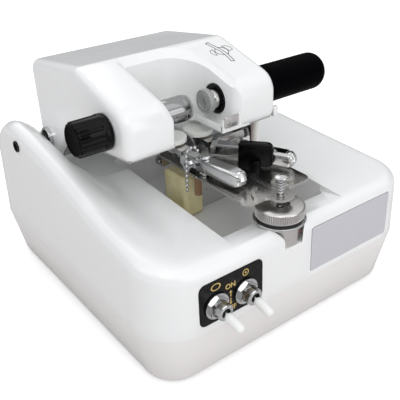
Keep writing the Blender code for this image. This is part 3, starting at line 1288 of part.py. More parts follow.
def make_wheel():
    """The grooving wheel on its shaft, the spindle block, the belt drive and the motor below."""
    wheel_left = LENS_X - WHEEL_THICKNESS / 2
    bore = WHEEL_SHAFT_RADIUS + GAP
    hub_end = wheel_left + WHEEL_THICKNESS + WHEEL_HUB_LENGTH
    wheel = turned("grooving_wheel",
                   [(WHEEL_HUB_RADIUS, WHEEL_THICKNESS + WHEEL_HUB_LENGTH), (WHEEL_HUB_RADIUS,
                                                                             WHEEL_THICKNESS),
                    (WHEEL_RADIUS, WHEEL_THICKNESS), (WHEEL_RADIUS, 0), (bore, 0),
                    (bore, WHEEL_THICKNESS + WHEEL_HUB_LENGTH)], (wheel_left, WHEEL_Y, WHEEL_Z), "X", 26,
                   closed=True)
    paint(wheel, (0.3, 0.3, 0.31), 0.4, 0.8)
    shaft_left = wheel_left - EDGE_BREAK * 2
    shaft_end = PULLEY_X + PULLEY_WIDTH + GAP
    shaft = turned("wheel_shaft",
                   [(0, shaft_end - shaft_left), (WHEEL_SHAFT_RADIUS, shaft_end - shaft_left),
                    (WHEEL_SHAFT_RADIUS, EDGE_BREAK * 2 - GAP), (PIVOT_STUD_RADIUS + GAP * 2,
                                                                 EDGE_BREAK * 2 - GAP),
                    (PIVOT_STUD_RADIUS + GAP * 2, 0), (0, 0)], (shaft_left, WHEEL_Y, WHEEL_Z), "X", 14)
    chrome(shaft)
    groove, rim = PULLEY_RADIUS - PULLEY_GROOVE, PULLEY_RADIUS

    def pulley(name, radius, bore, x, z):
        root, width = radius - PULLEY_GROOVE, PULLEY_WIDTH
        profile = [(radius, width), (radius, width - PULLEY_FLANGE), (root, width / 2 + BELT_RADIUS / 2),
                   (root, width / 2 - BELT_RADIUS / 2), (radius, PULLEY_FLANGE), (radius, 0), (bore, 0),
                   (bore, width)]
        return turned(name, profile, (x, WHEEL_Y, z), "X", 16, closed=True)

    small = pulley("wheel_pulley", rim, bore, PULLEY_X, WHEEL_Z)
    big = pulley("motor_pulley", MOTOR_PULLEY_RADIUS, MOTOR_SHAFT_RADIUS / 2, PULLEY_X, MOTOR_Z)
    join(big, rod("motor_spindle", MOTOR_SHAFT_RADIUS, (PULLEY_X - RUN, WHEEL_Y, MOTOR_Z),
                  PULLEY_WIDTH + RUN * 3 + OVERRUN, "X", segments=12, group=cutters))
    steel(small)
    steel(big)
    # The belt wraps both grooves; its straight runs are the outer tangents of the two circles.
    reach = BELT_RADIUS + GAP
    upper, lower = groove + reach, MOTOR_PULLEY_RADIUS - PULLEY_GROOVE + reach
    lean = math.asin((lower - upper) / (WHEEL_Z - MOTOR_Z))
    x = PULLEY_X + PULLEY_WIDTH / 2
    loop = arc((WHEEL_Y, WHEEL_Z), upper, lean, math.pi - lean, 8)
    loop += arc((WHEEL_Y, MOTOR_Z), lower, math.pi - lean, math.tau + lean, 12)
    belt = wire("drive_belt", [(x, y, z) for y, z in loop], BELT_RADIUS, cyclic=True)
    black(belt)
    left, depth = SPINDLE_BLOCK_LEFT_X, SPINDLE_BLOCK_DEPTH
    near, far = WHEEL_Y - depth / 2, WHEEL_Y + depth / 2
    arm = PIVOT_Z - LUG_REACH
    corners = [(near, WELL_FLOOR + GAP), (far, WELL_FLOOR + GAP), (far, arm), (PIVOT_Y + LUG_REACH, arm),
               (PIVOT_Y + LUG_REACH, PIVOT_Z + LUG_REACH), (far, WHEEL_Z), (near, WHEEL_Z)]
    edge = EDGE_BREAK * 2
    plan = rounded(corners, [0, 0, edge, edge, edge, edge, edge], 3)
    block = extruded("spindle_block", plan, SPINDLE_BLOCK_WIDTH, (left + SPINDLE_BLOCK_WIDTH / 2, 0, 0),
                     "YZ")
    housing = rod("spindle_housing", SPINDLE_HOUSING_RADIUS, (left, WHEEL_Y, WHEEL_Z),
                  SPINDLE_BLOCK_RIGHT - left,
                  "X", group=cutters)
    join(block, housing)
    cut(block, rod("spindle_bore", WHEEL_SHAFT_RADIUS + GAP, (left - OVERRUN, WHEEL_Y, WHEEL_Z),
                   SPINDLE_BLOCK_RIGHT - left + OVERRUN * 2, "X", segments=12, group=cutters))
    cut(block, rod("pivot_seat", PIVOT_PIN_RADIUS + GAP, (left - OVERRUN, PIVOT_Y, PIVOT_Z),
                   PIN_SEAT + OVERRUN * 2,
                   "X", segments=12, group=cutters))
    steel(block)
    motor_left = PULLEY_X + PULLEY_WIDTH + RUN * 2
    floor = FOOT_HEIGHT + WALL + GAP
    motor = turned("wheel_motor",
                   [(0, MOTOR_LENGTH), (MOTOR_RADIUS - TRAY_EDGE, MOTOR_LENGTH), (MOTOR_RADIUS,
                                                                                  MOTOR_LENGTH - TRAY_EDGE),
                    (MOTOR_RADIUS, 0), (0, 0)], (motor_left, WHEEL_Y, MOTOR_Z), "X", 18)
    foot_half = MOTOR_RADIUS * MOTOR_FOOT_SHARE
    foot_left = motor_left + MOTOR_FOOT_THICKNESS
    foot_right = motor_left + MOTOR_LENGTH - MOTOR_FOOT_THICKNESS * 3
    join(motor, box("motor_foot", (foot_left, WHEEL_Y - foot_half, floor),
                    (foot_right, WHEEL_Y + foot_half, MOTOR_Z - foot_half), cutters))
    cut(motor, rod("motor_bore", MOTOR_SHAFT_RADIUS + GAP, (motor_left - OVERRUN, WHEEL_Y, MOTOR_Z),
                   OVERRUN * 3,
                   "X", segments=12, group=cutters))
    steel(motor)
    add_pivot("wheel_pivot", (wheel_left, WHEEL_Y, WHEEL_Z), "root")
    add_pivot("motor_pivot", (PULLEY_X, WHEEL_Y, MOTOR_Z), "root")
    hang("wheel_pivot", wheel, shaft, small)
    hang("motor_pivot", big)
    hang("root", belt, block, motor)
    sponge_top = WHEEL_Z - WHEEL_RADIUS - EDGE_BREAK * 2
    sponge = box("sponge", (-SPONGE_LEFT, SPONGE_FRONT, WELL_FLOOR + GAP),
                 (SPONGE_WIDTH - SPONGE_LEFT, SPONGE_FRONT + SPONGE_DEPTH, sponge_top))
    soften(sponge, SPONGE_EDGE, 3)
    paint(sponge, (0.78, 0.68, 0.28), 0.9)
    post_top = head_bottom(STOP_POST_Y + STOP_POST_RADIUS) - GAP
    post = turned("stop_post",
                  [(0, post_top - WELL_FLOOR - GAP), (STOP_POST_RADIUS, post_top - WELL_FLOOR - GAP),
                   (STOP_POST_RADIUS, POST_BASE_HEIGHT), (STOP_POST_RADIUS + EDGE_BREAK,
                                                          POST_BASE_HEIGHT / 2),
                   (STOP_POST_RADIUS + EDGE_BREAK, 0), (0, 0)], (STOP_POST_X, STOP_POST_Y,
                                                                 WELL_FLOOR + GAP),
                  steps=16)
    nylon(post)
    hang("root", sponge, post)


def head_corners():
    """The head from the side, anticlockwise from its lower front corner, as (y, z)."""
    tail = HINGE_Y + HEAD_TAIL
    return [(NOSE_Y, CHUCK_Z - HEAD_BELOW), (HINGE_Y - STEP_FRONT, HINGE_Z + STEP_RISE),
            (HINGE_Y - TAIL_FRONT, HINGE_Z - TAIL_DROP), (tail - EDGE_BREAK * 3, HINGE_Z - TAIL_DROP),
            (tail, CHUCK_Z + REAR_TOP_RISE), (CHUCK_Y + CREASE_BACK, CHUCK_Z + CREASE_RISE),
            (NOSE_Y, CHUCK_Z + NOSE_RISE)]


def between(first, second, y):
    share = (y - first[0]) / (second[0] - first[0])
    return first[1] + (second[1] - first[1]) * share


def head_bottom(y):
    corners = head_corners()
    return between(corners[0], corners[1], y)


def head_top(y):
    corners = head_corners()
    crease = corners[5]
    return between(corners[6], crease, y) if y < crease[0] else between(crease, corners[4], y)


def scoop_cutter(name, grow=0):
    """The upright opening in the head's front that the lens turns in, with rounded lips."""
    left, right = SCOOP_LEFT_X - grow, SCOOP_LEFT_X + SCOOP_WIDTH + grow
    near, back = NOSE_Y - OVERRUN * 2, NOSE_Y + SCOOP_DEPTH + grow
    quarter = math.pi / 2
    left_lip, right_lip = SCOOP_LEFT_LIP - grow, SCOOP_RIGHT_LIP - grow
    left_centre = (left - left_lip, NOSE_Y + SCOOP_LEFT_LIP - GAP)
    right_centre = (right + right_lip, NOSE_Y + SCOOP_RIGHT_LIP - GAP)
    outline = [(left - left_lip, near)] + arc(left_centre, left_lip, -quarter, 0, 4)
    inner = SCOOP_INNER_CORNER + grow
    outline += arc((left + inner, back - inner), inner, math.pi, quarter, 3)
    corner = SCOOP_CORNER + grow
    outline += arc((right - corner, back - corner), corner, quarter, 0, 7)
    outline += arc(right_centre, right_lip, math.pi, math.pi + quarter, 4) + [(right + right_lip, near)]
    low, high = HINGE_Z - TAIL_DROP, CHUCK_Z + CREASE_RISE + OVERRUN * 2
    return extruded(name, outline, high - low, (0, 0, (low + high) / 2), "XY", cutters)


def rim_cutter(name, grow=0):
    """The sloping rim round the scoop's back and right side."""
    rings = []
    for share in RIM_SHARES:
        left, right = SCOOP_LEFT_X + GAP - grow, SCOOP_LEFT_X + SCOOP_WIDTH + SCOOP_RIM_SIDE * share + grow
        near, back = NOSE_Y - OVERRUN * 2, NOSE_Y + SCOOP_DEPTH + SCOOP_RIM * share + grow
        inner = SCOOP_INNER_CORNER
        corner = SCOOP_CORNER + SCOOP_RIM_SIDE * share + grow
        plan = [(left, near)] + arc((left + inner, back - inner), inner, math.pi, math.pi / 2, 3)
        plan += arc((right - corner, back - corner), corner, math.pi / 2, 0, 7) + [(right, near)]
        drop = SCOOP_RIM_DEPTH * (1 - share) + grow
        rings.append([(x, y, head_top(y) - drop) for x, y in plan])
    return loft(name, rings, cutters)


def bore_across(name, radius, start, length, y=None, z=None, segments=12):
    """A round cutter along the chuck's axis, or along one given."""
    place = (start, CHUCK_Y if y is None else y, CHUCK_Z if z is None else z)
    return rod(name, radius, place, length, "X", segments=segments, group=cutters)


def make_head():
    corners = head_corners()
    middle = HEAD_LEFT_X + HEAD_WIDTH / 2
    radii = [NOSE_LIP, 0, 0, TAIL_RADIUS, REAR_RADIUS, CREASE_RADIUS, NOSE_RADIUS]
    cover = extruded("head_cover", rounded(corners, radii), HEAD_WIDTH, (middle, 0, 0), "YZ")
    soften(cover, HEAD_EDGE, 2, math.radians(70))
    wall, away = HEAD_WALL, -OVERRUN
    hollow_corners = inset(corners, [away, away, away, wall, wall, wall, wall])
    small = [0, 0, 0, 0, REAR_RADIUS - wall, CREASE_RADIUS - wall, NOSE_RADIUS - wall]
    hollow = extruded("head_cavity", rounded(hollow_corners, small, 3), HEAD_WIDTH - wall * 2, (middle, 0,
                                                                                                0), "YZ",
                      cutters)
    cut(hollow, scoop_cutter("scoop_core", wall * 2))
    cut(cover, scoop_cutter("scoop"), rim_cutter("scoop_rim"), hollow)
    bush_hole = BUSH_RADIUS + GAP
    cut(cover, bore_across("chuck_hole", bush_hole, HEAD_LEFT_X - OVERRUN, OVERRUN * 2))
    cut(cover, bore_across("lobe_hole", CHUCK_SHAFT_RADIUS + GAP, SCOOP_LEFT_X - wall * 2 - OVERRUN,
                           wall * 2 + OVERRUN * 2))
    guide_left = SCOOP_LEFT_X + SCOOP_WIDTH
    cut(cover, bore_across("guide_hole", CLAMP_GUIDE_RADIUS + GAP, guide_left - OVERRUN,
                           HEAD_RIGHT_X - guide_left + OVERRUN * 2, segments=22))
    for number, x in enumerate((HEAD_LEFT_X - OVERRUN, HEAD_RIGHT_X - OVERRUN)):
        cut(cover, bore_across(f"hinge_cover_hole_{number}", HINGE_BUSH_RADIUS + GAP, x, OVERRUN * 2,
                               HINGE_Y,
                               HINGE_Z))
    white(cover)

    side = wall + GAP
    lower = inset(corners, [0, 0, 0, side, 0, 0, side])
    upper = inset(corners, [HEAD_PLATE_THICKNESS] * 3 + [side, 0, 0, side])
    strip = lower[0:4] + upper[0:4][::-1]
    base = extruded("head_base", strip, HEAD_WIDTH - side * 2, (middle, 0, 0), "YZ")
    lug_outline = [(HINGE_Y - LUG_RADIUS, HINGE_Z - TAIL_DROP + HEAD_PLATE_THICKNESS / 2),
                   (HINGE_Y + LUG_RADIUS, HINGE_Z - TAIL_DROP + HEAD_PLATE_THICKNESS / 2)]
    lug_outline += arc((HINGE_Y, HINGE_Z), LUG_RADIUS, 0, math.pi, 6)
    for number, x in enumerate((HEAD_LEFT_X + wall + RUN, HEAD_RIGHT_X - wall - RUN - LUG_THICKNESS)):
        join(base, extruded(f"hinge_lug_{number}", lug_outline, LUG_THICKNESS, (x + LUG_THICKNESS / 2, 0,
                                                                                0), "YZ",
                            cutters))
        cut(base, bore_across(f"hinge_lug_hole_{number}", HINGE_BUSH_RADIUS + GAP, x - OVERRUN,
                              OVERRUN * 2 +
                              LUG_THICKNESS, HINGE_Y, HINGE_Z))
    cut(base, scoop_cutter("scoop_clearance", wall * 2 + GAP))
    plate_x = HEAD_LEFT_X + wall + RUN
    idler_y = CHUCK_Y + GEAR_MODULE * (CHUCK_TEETH + IDLER_TEETH) / 2
    pinion_y = idler_y + GEAR_MODULE * (IDLER_TEETH + PINION_TEETH) / 2
    stem = LUG_RADIUS
    top = CHUCK_Z + stem
    gear_plate = [(idler_y - stem, head_bottom(idler_y - stem) + HEAD_PLATE_THICKNESS / 2),
                  (idler_y + stem, head_bottom(idler_y + stem) + HEAD_PLATE_THICKNESS / 2),
                  (idler_y + stem, top), (idler_y - stem, top)]
    thickness = HEAD_PLATE_THICKNESS
    join(base, extruded("gear_plate", rounded(gear_plate, [0, 0, stem / 2, stem / 2]), thickness,
                        (plate_x + thickness / 2, 0, 0), "YZ", cutters))
    gear_x = HEAD_LEFT_X + GEAR_LEFT
    pin_end = gear_x + GEAR_WIDTH + EDGE_BREAK
    join(base, rod("idler_pin", IDLER_PIN_RADIUS, (plate_x + thickness / 2, idler_y, CHUCK_Z),
                   pin_end - plate_x - thickness / 2, "X", segments=16, group=cutters))
    bracket_x = gear_x + GEAR_WIDTH + RUN * 4
    reach = LENS_MOTOR_RADIUS - EDGE_BREAK
    motor_plate = [(pinion_y - reach, head_bottom(pinion_y - reach) + thickness / 2),
                   (pinion_y + reach / 3, head_bottom(pinion_y + reach / 3) + thickness / 2),
                   (pinion_y + reach, CHUCK_Z - reach / 2), (pinion_y + reach, CHUCK_Z + reach),
                   (pinion_y - reach, CHUCK_Z + reach)]
    join(base, extruded("motor_bracket", rounded(motor_plate, [0, 0, stem / 2, stem / 2, stem / 2]),
                        thickness,
                        (bracket_x + thickness / 2, 0, 0), "YZ", cutters))
    boss = LENS_MOTOR_SHAFT_RADIUS * 3
    cut(base, bore_across("motor_boss_hole", boss + GAP, bracket_x - OVERRUN / 2, OVERRUN + thickness,
                          pinion_y))
    steel(base)

    motor_x = bracket_x + thickness + GAP
    motor = turned("lens_motor",
                   [(0, LENS_MOTOR_LENGTH), (LENS_MOTOR_RADIUS - EDGE_BREAK * 2, LENS_MOTOR_LENGTH),
                    (LENS_MOTOR_RADIUS, LENS_MOTOR_LENGTH - EDGE_BREAK * 2), (LENS_MOTOR_RADIUS, 0), (boss,
                                                                                                      0),
                    (boss, -thickness), (0, -thickness)], (motor_x, pinion_y, CHUCK_Z), "X", 16)
    cut(motor, bore_across("lens_motor_bore", LENS_MOTOR_SHAFT_RADIUS + GAP, motor_x - thickness - OVERRUN,
                           OVERRUN * 2 + thickness, pinion_y))
    steel(motor)
    gears = {}
    # A tooth of one wheel faces a gap of the next.
    for name, teeth, y, phase in (("chuck_gear", CHUCK_TEETH, CHUCK_Y, 0),
                                  ("idler_gear", IDLER_TEETH, idler_y, (IDLER_TEETH + 1) % 2 / 2),
                                  ("motor_pinion", PINION_TEETH, pinion_y,
                                   (PINION_TEETH + IDLER_TEETH) % 2 / 2)):
        gears[name] = make_gear(name, teeth, phase, (gear_x + GEAR_WIDTH / 2, y, CHUCK_Z))
    cut(gears["chuck_gear"], bore_across("chuck_gear_bore", CHUCK_SHAFT_RADIUS + GAP, gear_x - OVERRUN,
                                         GEAR_WIDTH + OVERRUN * 2))
    cut(gears["idler_gear"], bore_across("idler_bore", IDLER_PIN_RADIUS + GAP, gear_x - OVERRUN,
                                         GEAR_WIDTH + OVERRUN * 2, idler_y))
    shaft = rod("pinion_shaft", LENS_MOTOR_SHAFT_RADIUS, (gear_x + GEAR_WIDTH / 2, pinion_y, CHUCK_Z),
                motor_x + OVERRUN / 2 - gear_x - GEAR_WIDTH / 2, "X", segments=16, group=cutters)
    join(gears["motor_pinion"], shaft)
    paint(gears["idler_gear"], (0.75, 0.73, 0.68), 0.5)
    for name in ("chuck_gear", "motor_pinion"):
        steel(gears[name])

    hinge = (0, HINGE_Y, HINGE_Z)
    add_pivot("head_pivot", hinge, "root")
    add_pivot("chuck_pivot", (HEAD_LEFT_X, CHUCK_Y, CHUCK_Z), "head_pivot")
    add_pivot("idler_pivot", (gear_x, idler_y, CHUCK_Z), "head_pivot")
    add_pivot("pinion_pivot", (gear_x, pinion_y, CHUCK_Z), "head_pivot")
    hang("head_pivot", cover, base, motor)
    hang("chuck_pivot", gears["chuck_gear"])
    hang("idler_pivot", gears["idler_gear"])
    hang("pinion_pivot", gears["motor_pinion"])
    make_hinge()
    make_chuck()
    make_clamp()


def make_gear(name, teeth, phase, middle):
    pitch = GEAR_MODULE * teeth / 2
    tip, root = pitch + GEAR_MODULE * TIP_SHARE, pitch - GEAR_MODULE * ROOT_SHARE
    outline = []
    for tooth in range(teeth):
        for turn, radius in ((-TOOTH_ROOT_SHARE, root), (-TOOTH_TIP_SHARE, tip), (TOOTH_TIP_SHARE, tip),
                             (TOOTH_ROOT_SHARE, root)):
            angle = math.tau * (tooth + phase + turn) / teeth
            outline.append((radius * math.cos(angle), radius * math.sin(angle)))
    return extruded(name, outline, GEAR_WIDTH, middle, "YZ")


def make_hinge():
    left = -HALF_WIDTH + SCREW_SEAT + GAP
    right = RIGHT_EAR_X + RIGHT_EAR_WIDTH - SCREW_SEAT / 2 - GAP
    shaft = rod("hinge_shaft", HINGE_SHAFT_RADIUS, (left, HINGE_Y, HINGE_Z), right - left, "X")
    chrome(shaft)
    for side, name in ((-1, "left"), (1, "right")):
        face = HEAD_LEFT_X if side < 0 else HEAD_RIGHT_X
        start = face - BUSH_REACH if side < 0 else face - BUSH_INSIDE
        bush = rod(f"{name}_hinge_bush", HINGE_BUSH_RADIUS, (start, HINGE_Y, HINGE_Z),
                   BUSH_REACH + BUSH_INSIDE, "X",
                   segments=14)
        ring_x = face - GAP - HINGE_WASHER_THICKNESS if side < 0 else face + GAP
        join(bush, rod(f"{name}_ring", HINGE_WASHER_RADIUS, (ring_x, HINGE_Y, HINGE_Z),
                       HINGE_WASHER_THICKNESS, "X",
                       segments=14, group=cutters))
        cut(bush, rod(f"{name}_bush_bore", HINGE_SHAFT_RADIUS + GAP, (start - OVERRUN, HINGE_Y, HINGE_Z),
                      BUSH_REACH + BUSH_INSIDE + OVERRUN * 2, "X", segments=10, group=cutters))
        end = left if side < 0 else right
        bore_start = end - OVERRUN * 1.5 if side > 0 else end - OVERRUN
        cut(shaft, rod(f"{name}_shaft_bore", SCREW_RADIUS, (bore_start, HINGE_Y, HINGE_Z), OVERRUN * 2.5,
                       "X",
                       segments=8, group=cutters))
        black(bush)
        hang("head_pivot", bush)
    hang("root", shaft)


def make_chuck():
    """The driven left side of the clamp, from the knob to its pad."""
    knob_left = HEAD_LEFT_X - RUN - KNOB_LENGTH
    fluted, ease = KNOB_LENGTH - KNOB_COLLAR, KNOB_EDGE
    stations = [(0, KNOB_RADIUS - ease, 0.5), (ease, KNOB_RADIUS, 1), (fluted - ease / 2, KNOB_RADIUS, 1),
                (fluted, KNOB_RADIUS + ease / 3, 0), (KNOB_LENGTH, KNOB_RADIUS + ease / 3, 0)]
    knob = loft("chuck_knob", fluted_rings(KNOB_FLUTES, KNOB_FLUTE_SHARES, KNOB_FLUTE_DEPTH, stations))
    knob.location = (knob_left, CHUCK_Y, CHUCK_Z)
    knob.rotation_euler = TURNS["X"]
    cut(knob, bore_across("knob_bore", CHUCK_SHAFT_RADIUS + GAP, knob_left + KNOB_COLLAR, KNOB_LENGTH))
    black(knob)
    shaft_left = knob_left + KNOB_COLLAR + GAP
    chuck_left = CHUCK_END_X - CHUCK_LENGTH
    shaft_right = chuck_left + CHUCK_LENGTH / 2
    shaft = rod("chuck_shaft", CHUCK_SHAFT_RADIUS, (shaft_left, CHUCK_Y, CHUCK_Z), shaft_right - shaft_left,
                "X")
    steel(shaft)
    neck = CHUCK_LENGTH * CHUCK_NECK_SHARE
    bore = CHUCK_SHAFT_RADIUS + GAP
    seat = CHUCK_LENGTH / 2 + GAP
    chuck = turned("left_chuck",
                   [(0, CHUCK_LENGTH), (CHUCK_RADIUS - EDGE_BREAK, CHUCK_LENGTH),
                    (CHUCK_RADIUS, CHUCK_LENGTH - EDGE_BREAK), (CHUCK_RADIUS, neck), (CHUCK_NECK_RADIUS,
                                                                                      neck / 2),
                    (CHUCK_NECK_RADIUS, 0), (bore, 0), (bore, seat), (0, seat)], (chuck_left, CHUCK_Y,
                                                                                  CHUCK_Z), "X",
                   24)
    chrome(chuck)
    pad = turned("left_pad",
                 [(0, CHUCK_PAD_THICKNESS - EDGE_BREAK), (CHUCK_PAD_RADIUS / 2,
                                                          CHUCK_PAD_THICKNESS - EDGE_BREAK),
                  (CHUCK_PAD_RADIUS - EDGE_BREAK, CHUCK_PAD_THICKNESS), (CHUCK_PAD_RADIUS,
                                                                         CHUCK_PAD_THICKNESS -
                                                                         EDGE_BREAK),
                  (CHUCK_PAD_RADIUS, 0), (0, 0)], (CHUCK_END_X + GAP, CHUCK_Y, CHUCK_Z), "X", 24)
    paint(pad, (0.72, 0.72, 0.7), 0.6)
    bush = tube("chuck_bush", BUSH_RADIUS, bore, (HEAD_LEFT_X - GAP, CHUCK_Y, CHUCK_Z), BUSH_LENGTH, "X")
    paint(bush, (0.72, 0.52, 0.22), 0.4, 1.0)
    hang("chuck_pivot", knob, shaft, chuck, pad)
    hang("head_pivot", bush)


def make_clamp():
    """The sliding right side of the clamp: guide, shaft, free-turning pad and twist grip."""
    guide_left = SCOOP_LEFT_X + SCOOP_WIDTH - GUIDE_REACH
    length = HEAD_RIGHT_X + GAP + COLLAR_LENGTH - guide_left
    collar = length - COLLAR_LENGTH
    bore = CLAMP_NECK_RADIUS + GAP
    hole = CLAMP_SHAFT_RADIUS + GAP
    end = collar - COLLAR_LENGTH
    guide = turned("clamp_guide",
                   [(COLLAR_RADIUS, length), (COLLAR_RADIUS, collar), (CLAMP_GUIDE_RADIUS, collar),
                    (CLAMP_GUIDE_RADIUS, EDGE_BREAK), (CLAMP_GUIDE_RADIUS - EDGE_BREAK, 0), (bore, 0),
                    (bore, end),
                    (hole, end), (hole, length)], (guide_left, CHUCK_Y, CHUCK_Z), "X", 20, closed=True)
    black(guide)
    pad_back = CLAMP_FACE_X + CLAMP_PAD_THICKNESS
    neck_start = pad_back + RUN
    neck_end = guide_left + end * NECK_END_SHARE
    pin_bore = SCREW_RADIUS + GAP
    pin_depth = CLAMP_PAD_THICKNESS / 2
    pad = turned("right_pad",
                 [(0, pin_depth), (pin_bore, pin_depth), (pin_bore, CLAMP_PAD_THICKNESS),
                  (CLAMP_PAD_RADIUS - EDGE_BREAK, CLAMP_PAD_THICKNESS),
                  (CLAMP_PAD_RADIUS, CLAMP_PAD_THICKNESS - EDGE_BREAK), (CLAMP_PAD_RADIUS, EDGE_BREAK),
                  (CLAMP_PAD_RADIUS - EDGE_BREAK, 0), (CLAMP_PAD_HOLLOW, 0),
                  (CLAMP_PAD_HOLLOW / 2, CLAMP_PAD_THICKNESS / 4), (0, CLAMP_PAD_THICKNESS / 4)],
                 (CLAMP_FACE_X, CHUCK_Y, CHUCK_Z), "X", 18)
    paint(pad, (0.80, 0.80, 0.76), 0.3)
    grip_left = HEAD_RIGHT_X + GAP + COLLAR_LENGTH + GAP
    shaft_end = grip_left + GRIP_LENGTH - GRIP_END_RADIUS - GRIP_SPARE
    shaft = turned("clamp_shaft",
                   [(0, shaft_end - neck_start), (CLAMP_SHAFT_RADIUS, shaft_end - neck_start),
                    (CLAMP_SHAFT_RADIUS, neck_end - neck_start), (CLAMP_NECK_RADIUS, neck_end - neck_start),
                    (CLAMP_NECK_RADIUS, 0), (SCREW_RADIUS, 0), (SCREW_RADIUS, -pin_depth), (0, -pin_depth)],
                   (neck_start, CHUCK_Y, CHUCK_Z), "X", 20)
    chrome(shaft)
    grip_bore = CLAMP_SHAFT_RADIUS + RUN
    tip = GRIP_RADIUS - GRIP_END_RADIUS
    profile = [(0, GRIP_LENGTH)]
    profile += [(tip + GRIP_END_RADIUS * math.cos(a),
                 GRIP_LENGTH - GRIP_END_RADIUS + GRIP_END_RADIUS * math.sin(a))
                for a in [math.pi / 2 * (1 - n / 4) for n in range(5)]]
    base = GRIP_RADIUS + GRIP_FLARE
    profile += [(GRIP_RADIUS, GRIP_FLARE_LENGTH), (base, GRIP_FLARE_LENGTH / 2), (base, EDGE_BREAK),
                (base - EDGE_BREAK, 0), (grip_bore, 0), (grip_bore, GRIP_LENGTH - GRIP_END_RADIUS),
                (0, GRIP_LENGTH - GRIP_END_RADIUS)]
    grip = turned("clamp_grip", profile, (grip_left, CHUCK_Y, CHUCK_Z), "X", 24)
    black(grip)
    add_pivot("clamp_slide", (CLAMP_FACE_X, CHUCK_Y, CHUCK_Z), "head_pivot")
    add_pivot("pad_pivot", (CLAMP_FACE_X, CHUCK_Y, CHUCK_Z), "clamp_slide")
    add_pivot("grip_pivot", (grip_left, CHUCK_Y, CHUCK_Z), "head_pivot")
    hang("head_pivot", guide)
    hang("clamp_slide", shaft)
    hang("pad_pivot", pad)
    hang("grip_pivot", grip)


def make_electrics():
    """Inlet and fuse on the rear wall, transformer and board on the tray's floor."""
    seat_y = DEPTH - REAR_SEAT + GAP
    half, tall, lip = INLET_WIDTH / 2, INLET_HEIGHT / 2, INLET_LIP
    plan = rectangle(INLET_X - half - lip, INLET_Z - tall - lip, (half + lip) * 2, (tall + lip) * 2, lip)
    inlet = extruded("power_inlet", plan, INLET_FLANGE, (0, seat_y + INLET_FLANGE / 2, 0), "XZ")
    join(inlet, box("inlet_case", (INLET_X - half, seat_y - INLET_DEPTH, INLET_Z - tall),
                    (INLET_X + half, seat_y + EDGE_BREAK, INLET_Z + tall), cutters))
    floor_y = seat_y + INLET_FLANGE - INLET_DEPTH * 0.75
    cut(inlet, box("inlet_socket", (INLET_X - half + lip, floor_y, INLET_Z - tall + lip),
                   (INLET_X + half - lip, DEPTH + OVERRUN, INLET_Z + tall - lip), cutters))
    for number in (-1, 0, 1):
        x = INLET_X + number * PRONG_SPACING
        z = INLET_Z + (PRONG_WIDTH if number == 0 else -PRONG_WIDTH / 2)
        join(inlet, box(f"prong_{number}", (x - PRONG_WIDTH / 2, floor_y - PRONG_WIDTH,
                                            z - PRONG_HEIGHT / 2),
                        (x + PRONG_WIDTH / 2, seat_y - PRONG_WIDTH, z + PRONG_HEIGHT / 2), cutters))
    black(inlet)
    cap_radius = FUSE_RADIUS + FUSE_RIM
    fuse = turned("fuse_holder",
                  [(0, FUSE_CAP_LENGTH), (FUSE_RADIUS - EDGE_BREAK, FUSE_CAP_LENGTH),
                   (FUSE_RADIUS, FUSE_CAP_LENGTH - EDGE_BREAK), (FUSE_RADIUS, FUSE_RIM), (cap_radius,
                                                                                          FUSE_RIM),
                   (cap_radius, 0), (FUSE_RADIUS, 0), (FUSE_RADIUS, -FUSE_BODY_LENGTH), (0,
                                                                                         -FUSE_BODY_LENGTH)],
                  (FUSE_X, seat_y, INLET_Z), "Y", 16)
    black(fuse)
    floor = FOOT_HEIGHT + WALL + GAP
    left, front = -TRANSFORMER_LEFT, TRANSFORMER_FRONT
    core = box("transformer", (left, front, floor),
               (left + TRANSFORMER_WIDTH, front + TRANSFORMER_DEPTH, floor + TRANSFORMER_HEIGHT))
    for number, side in enumerate((-1, 1)):
        y = front + TRANSFORMER_DEPTH / 2 + side * TRANSFORMER_DEPTH / 2
        join(core, box(f"coil_{number}", (left + COIL_MARGIN, y - COIL_MARGIN, floor + COIL_MARGIN),
                       (left + TRANSFORMER_WIDTH - COIL_MARGIN, y + COIL_MARGIN,
                        floor + TRANSFORMER_HEIGHT - COIL_MARGIN), cutters))
    paint(core, (0.25, 0.22, 0.2), 0.5, 0.4)
    low = floor + BOARD_STANDOFF
    left, front = -BOARD_LEFT, BOARD_FRONT
    board = box("control_board", (left, front, low), (left + BOARD_LENGTH, front + BOARD_WIDTH,
                                                      low + BOARD_THICKNESS))
    for number, (x_share, y_share, wide_share, deep_share, tall_share) in enumerate(BOARD_PART_SHARES):
        x, y = left + BOARD_LENGTH * x_share, front + BOARD_WIDTH * y_share
        join(board, box(f"board_part_{number}", (x, y, low + BOARD_THICKNESS / 2),
                        (x + BOARD_LENGTH * wide_share, y + BOARD_WIDTH * deep_share,
                         low + BOARD_THICKNESS + BOARD_WIDTH * tall_share), cutters))
    margin = SCREW_HEAD_RADIUS + EDGE_BREAK
    for number, (x, y) in enumerate(((left + margin, front + margin), (left + BOARD_LENGTH - margin,
                                                                       front + margin),
                                     (left + BOARD_LENGTH - margin, front + BOARD_WIDTH - margin),
                                     (left + margin, front + BOARD_WIDTH - margin))):
        join(board, rod(f"standoff_{number}", SCREW_HEAD_RADIUS, (x, y, floor),
                        BOARD_STANDOFF + BOARD_THICKNESS / 2,
                        segments=8, group=cutters))
    paint(board, (0.03, 0.16, 0.07), 0.5)
    hang("root", inlet, fuse, core, board)


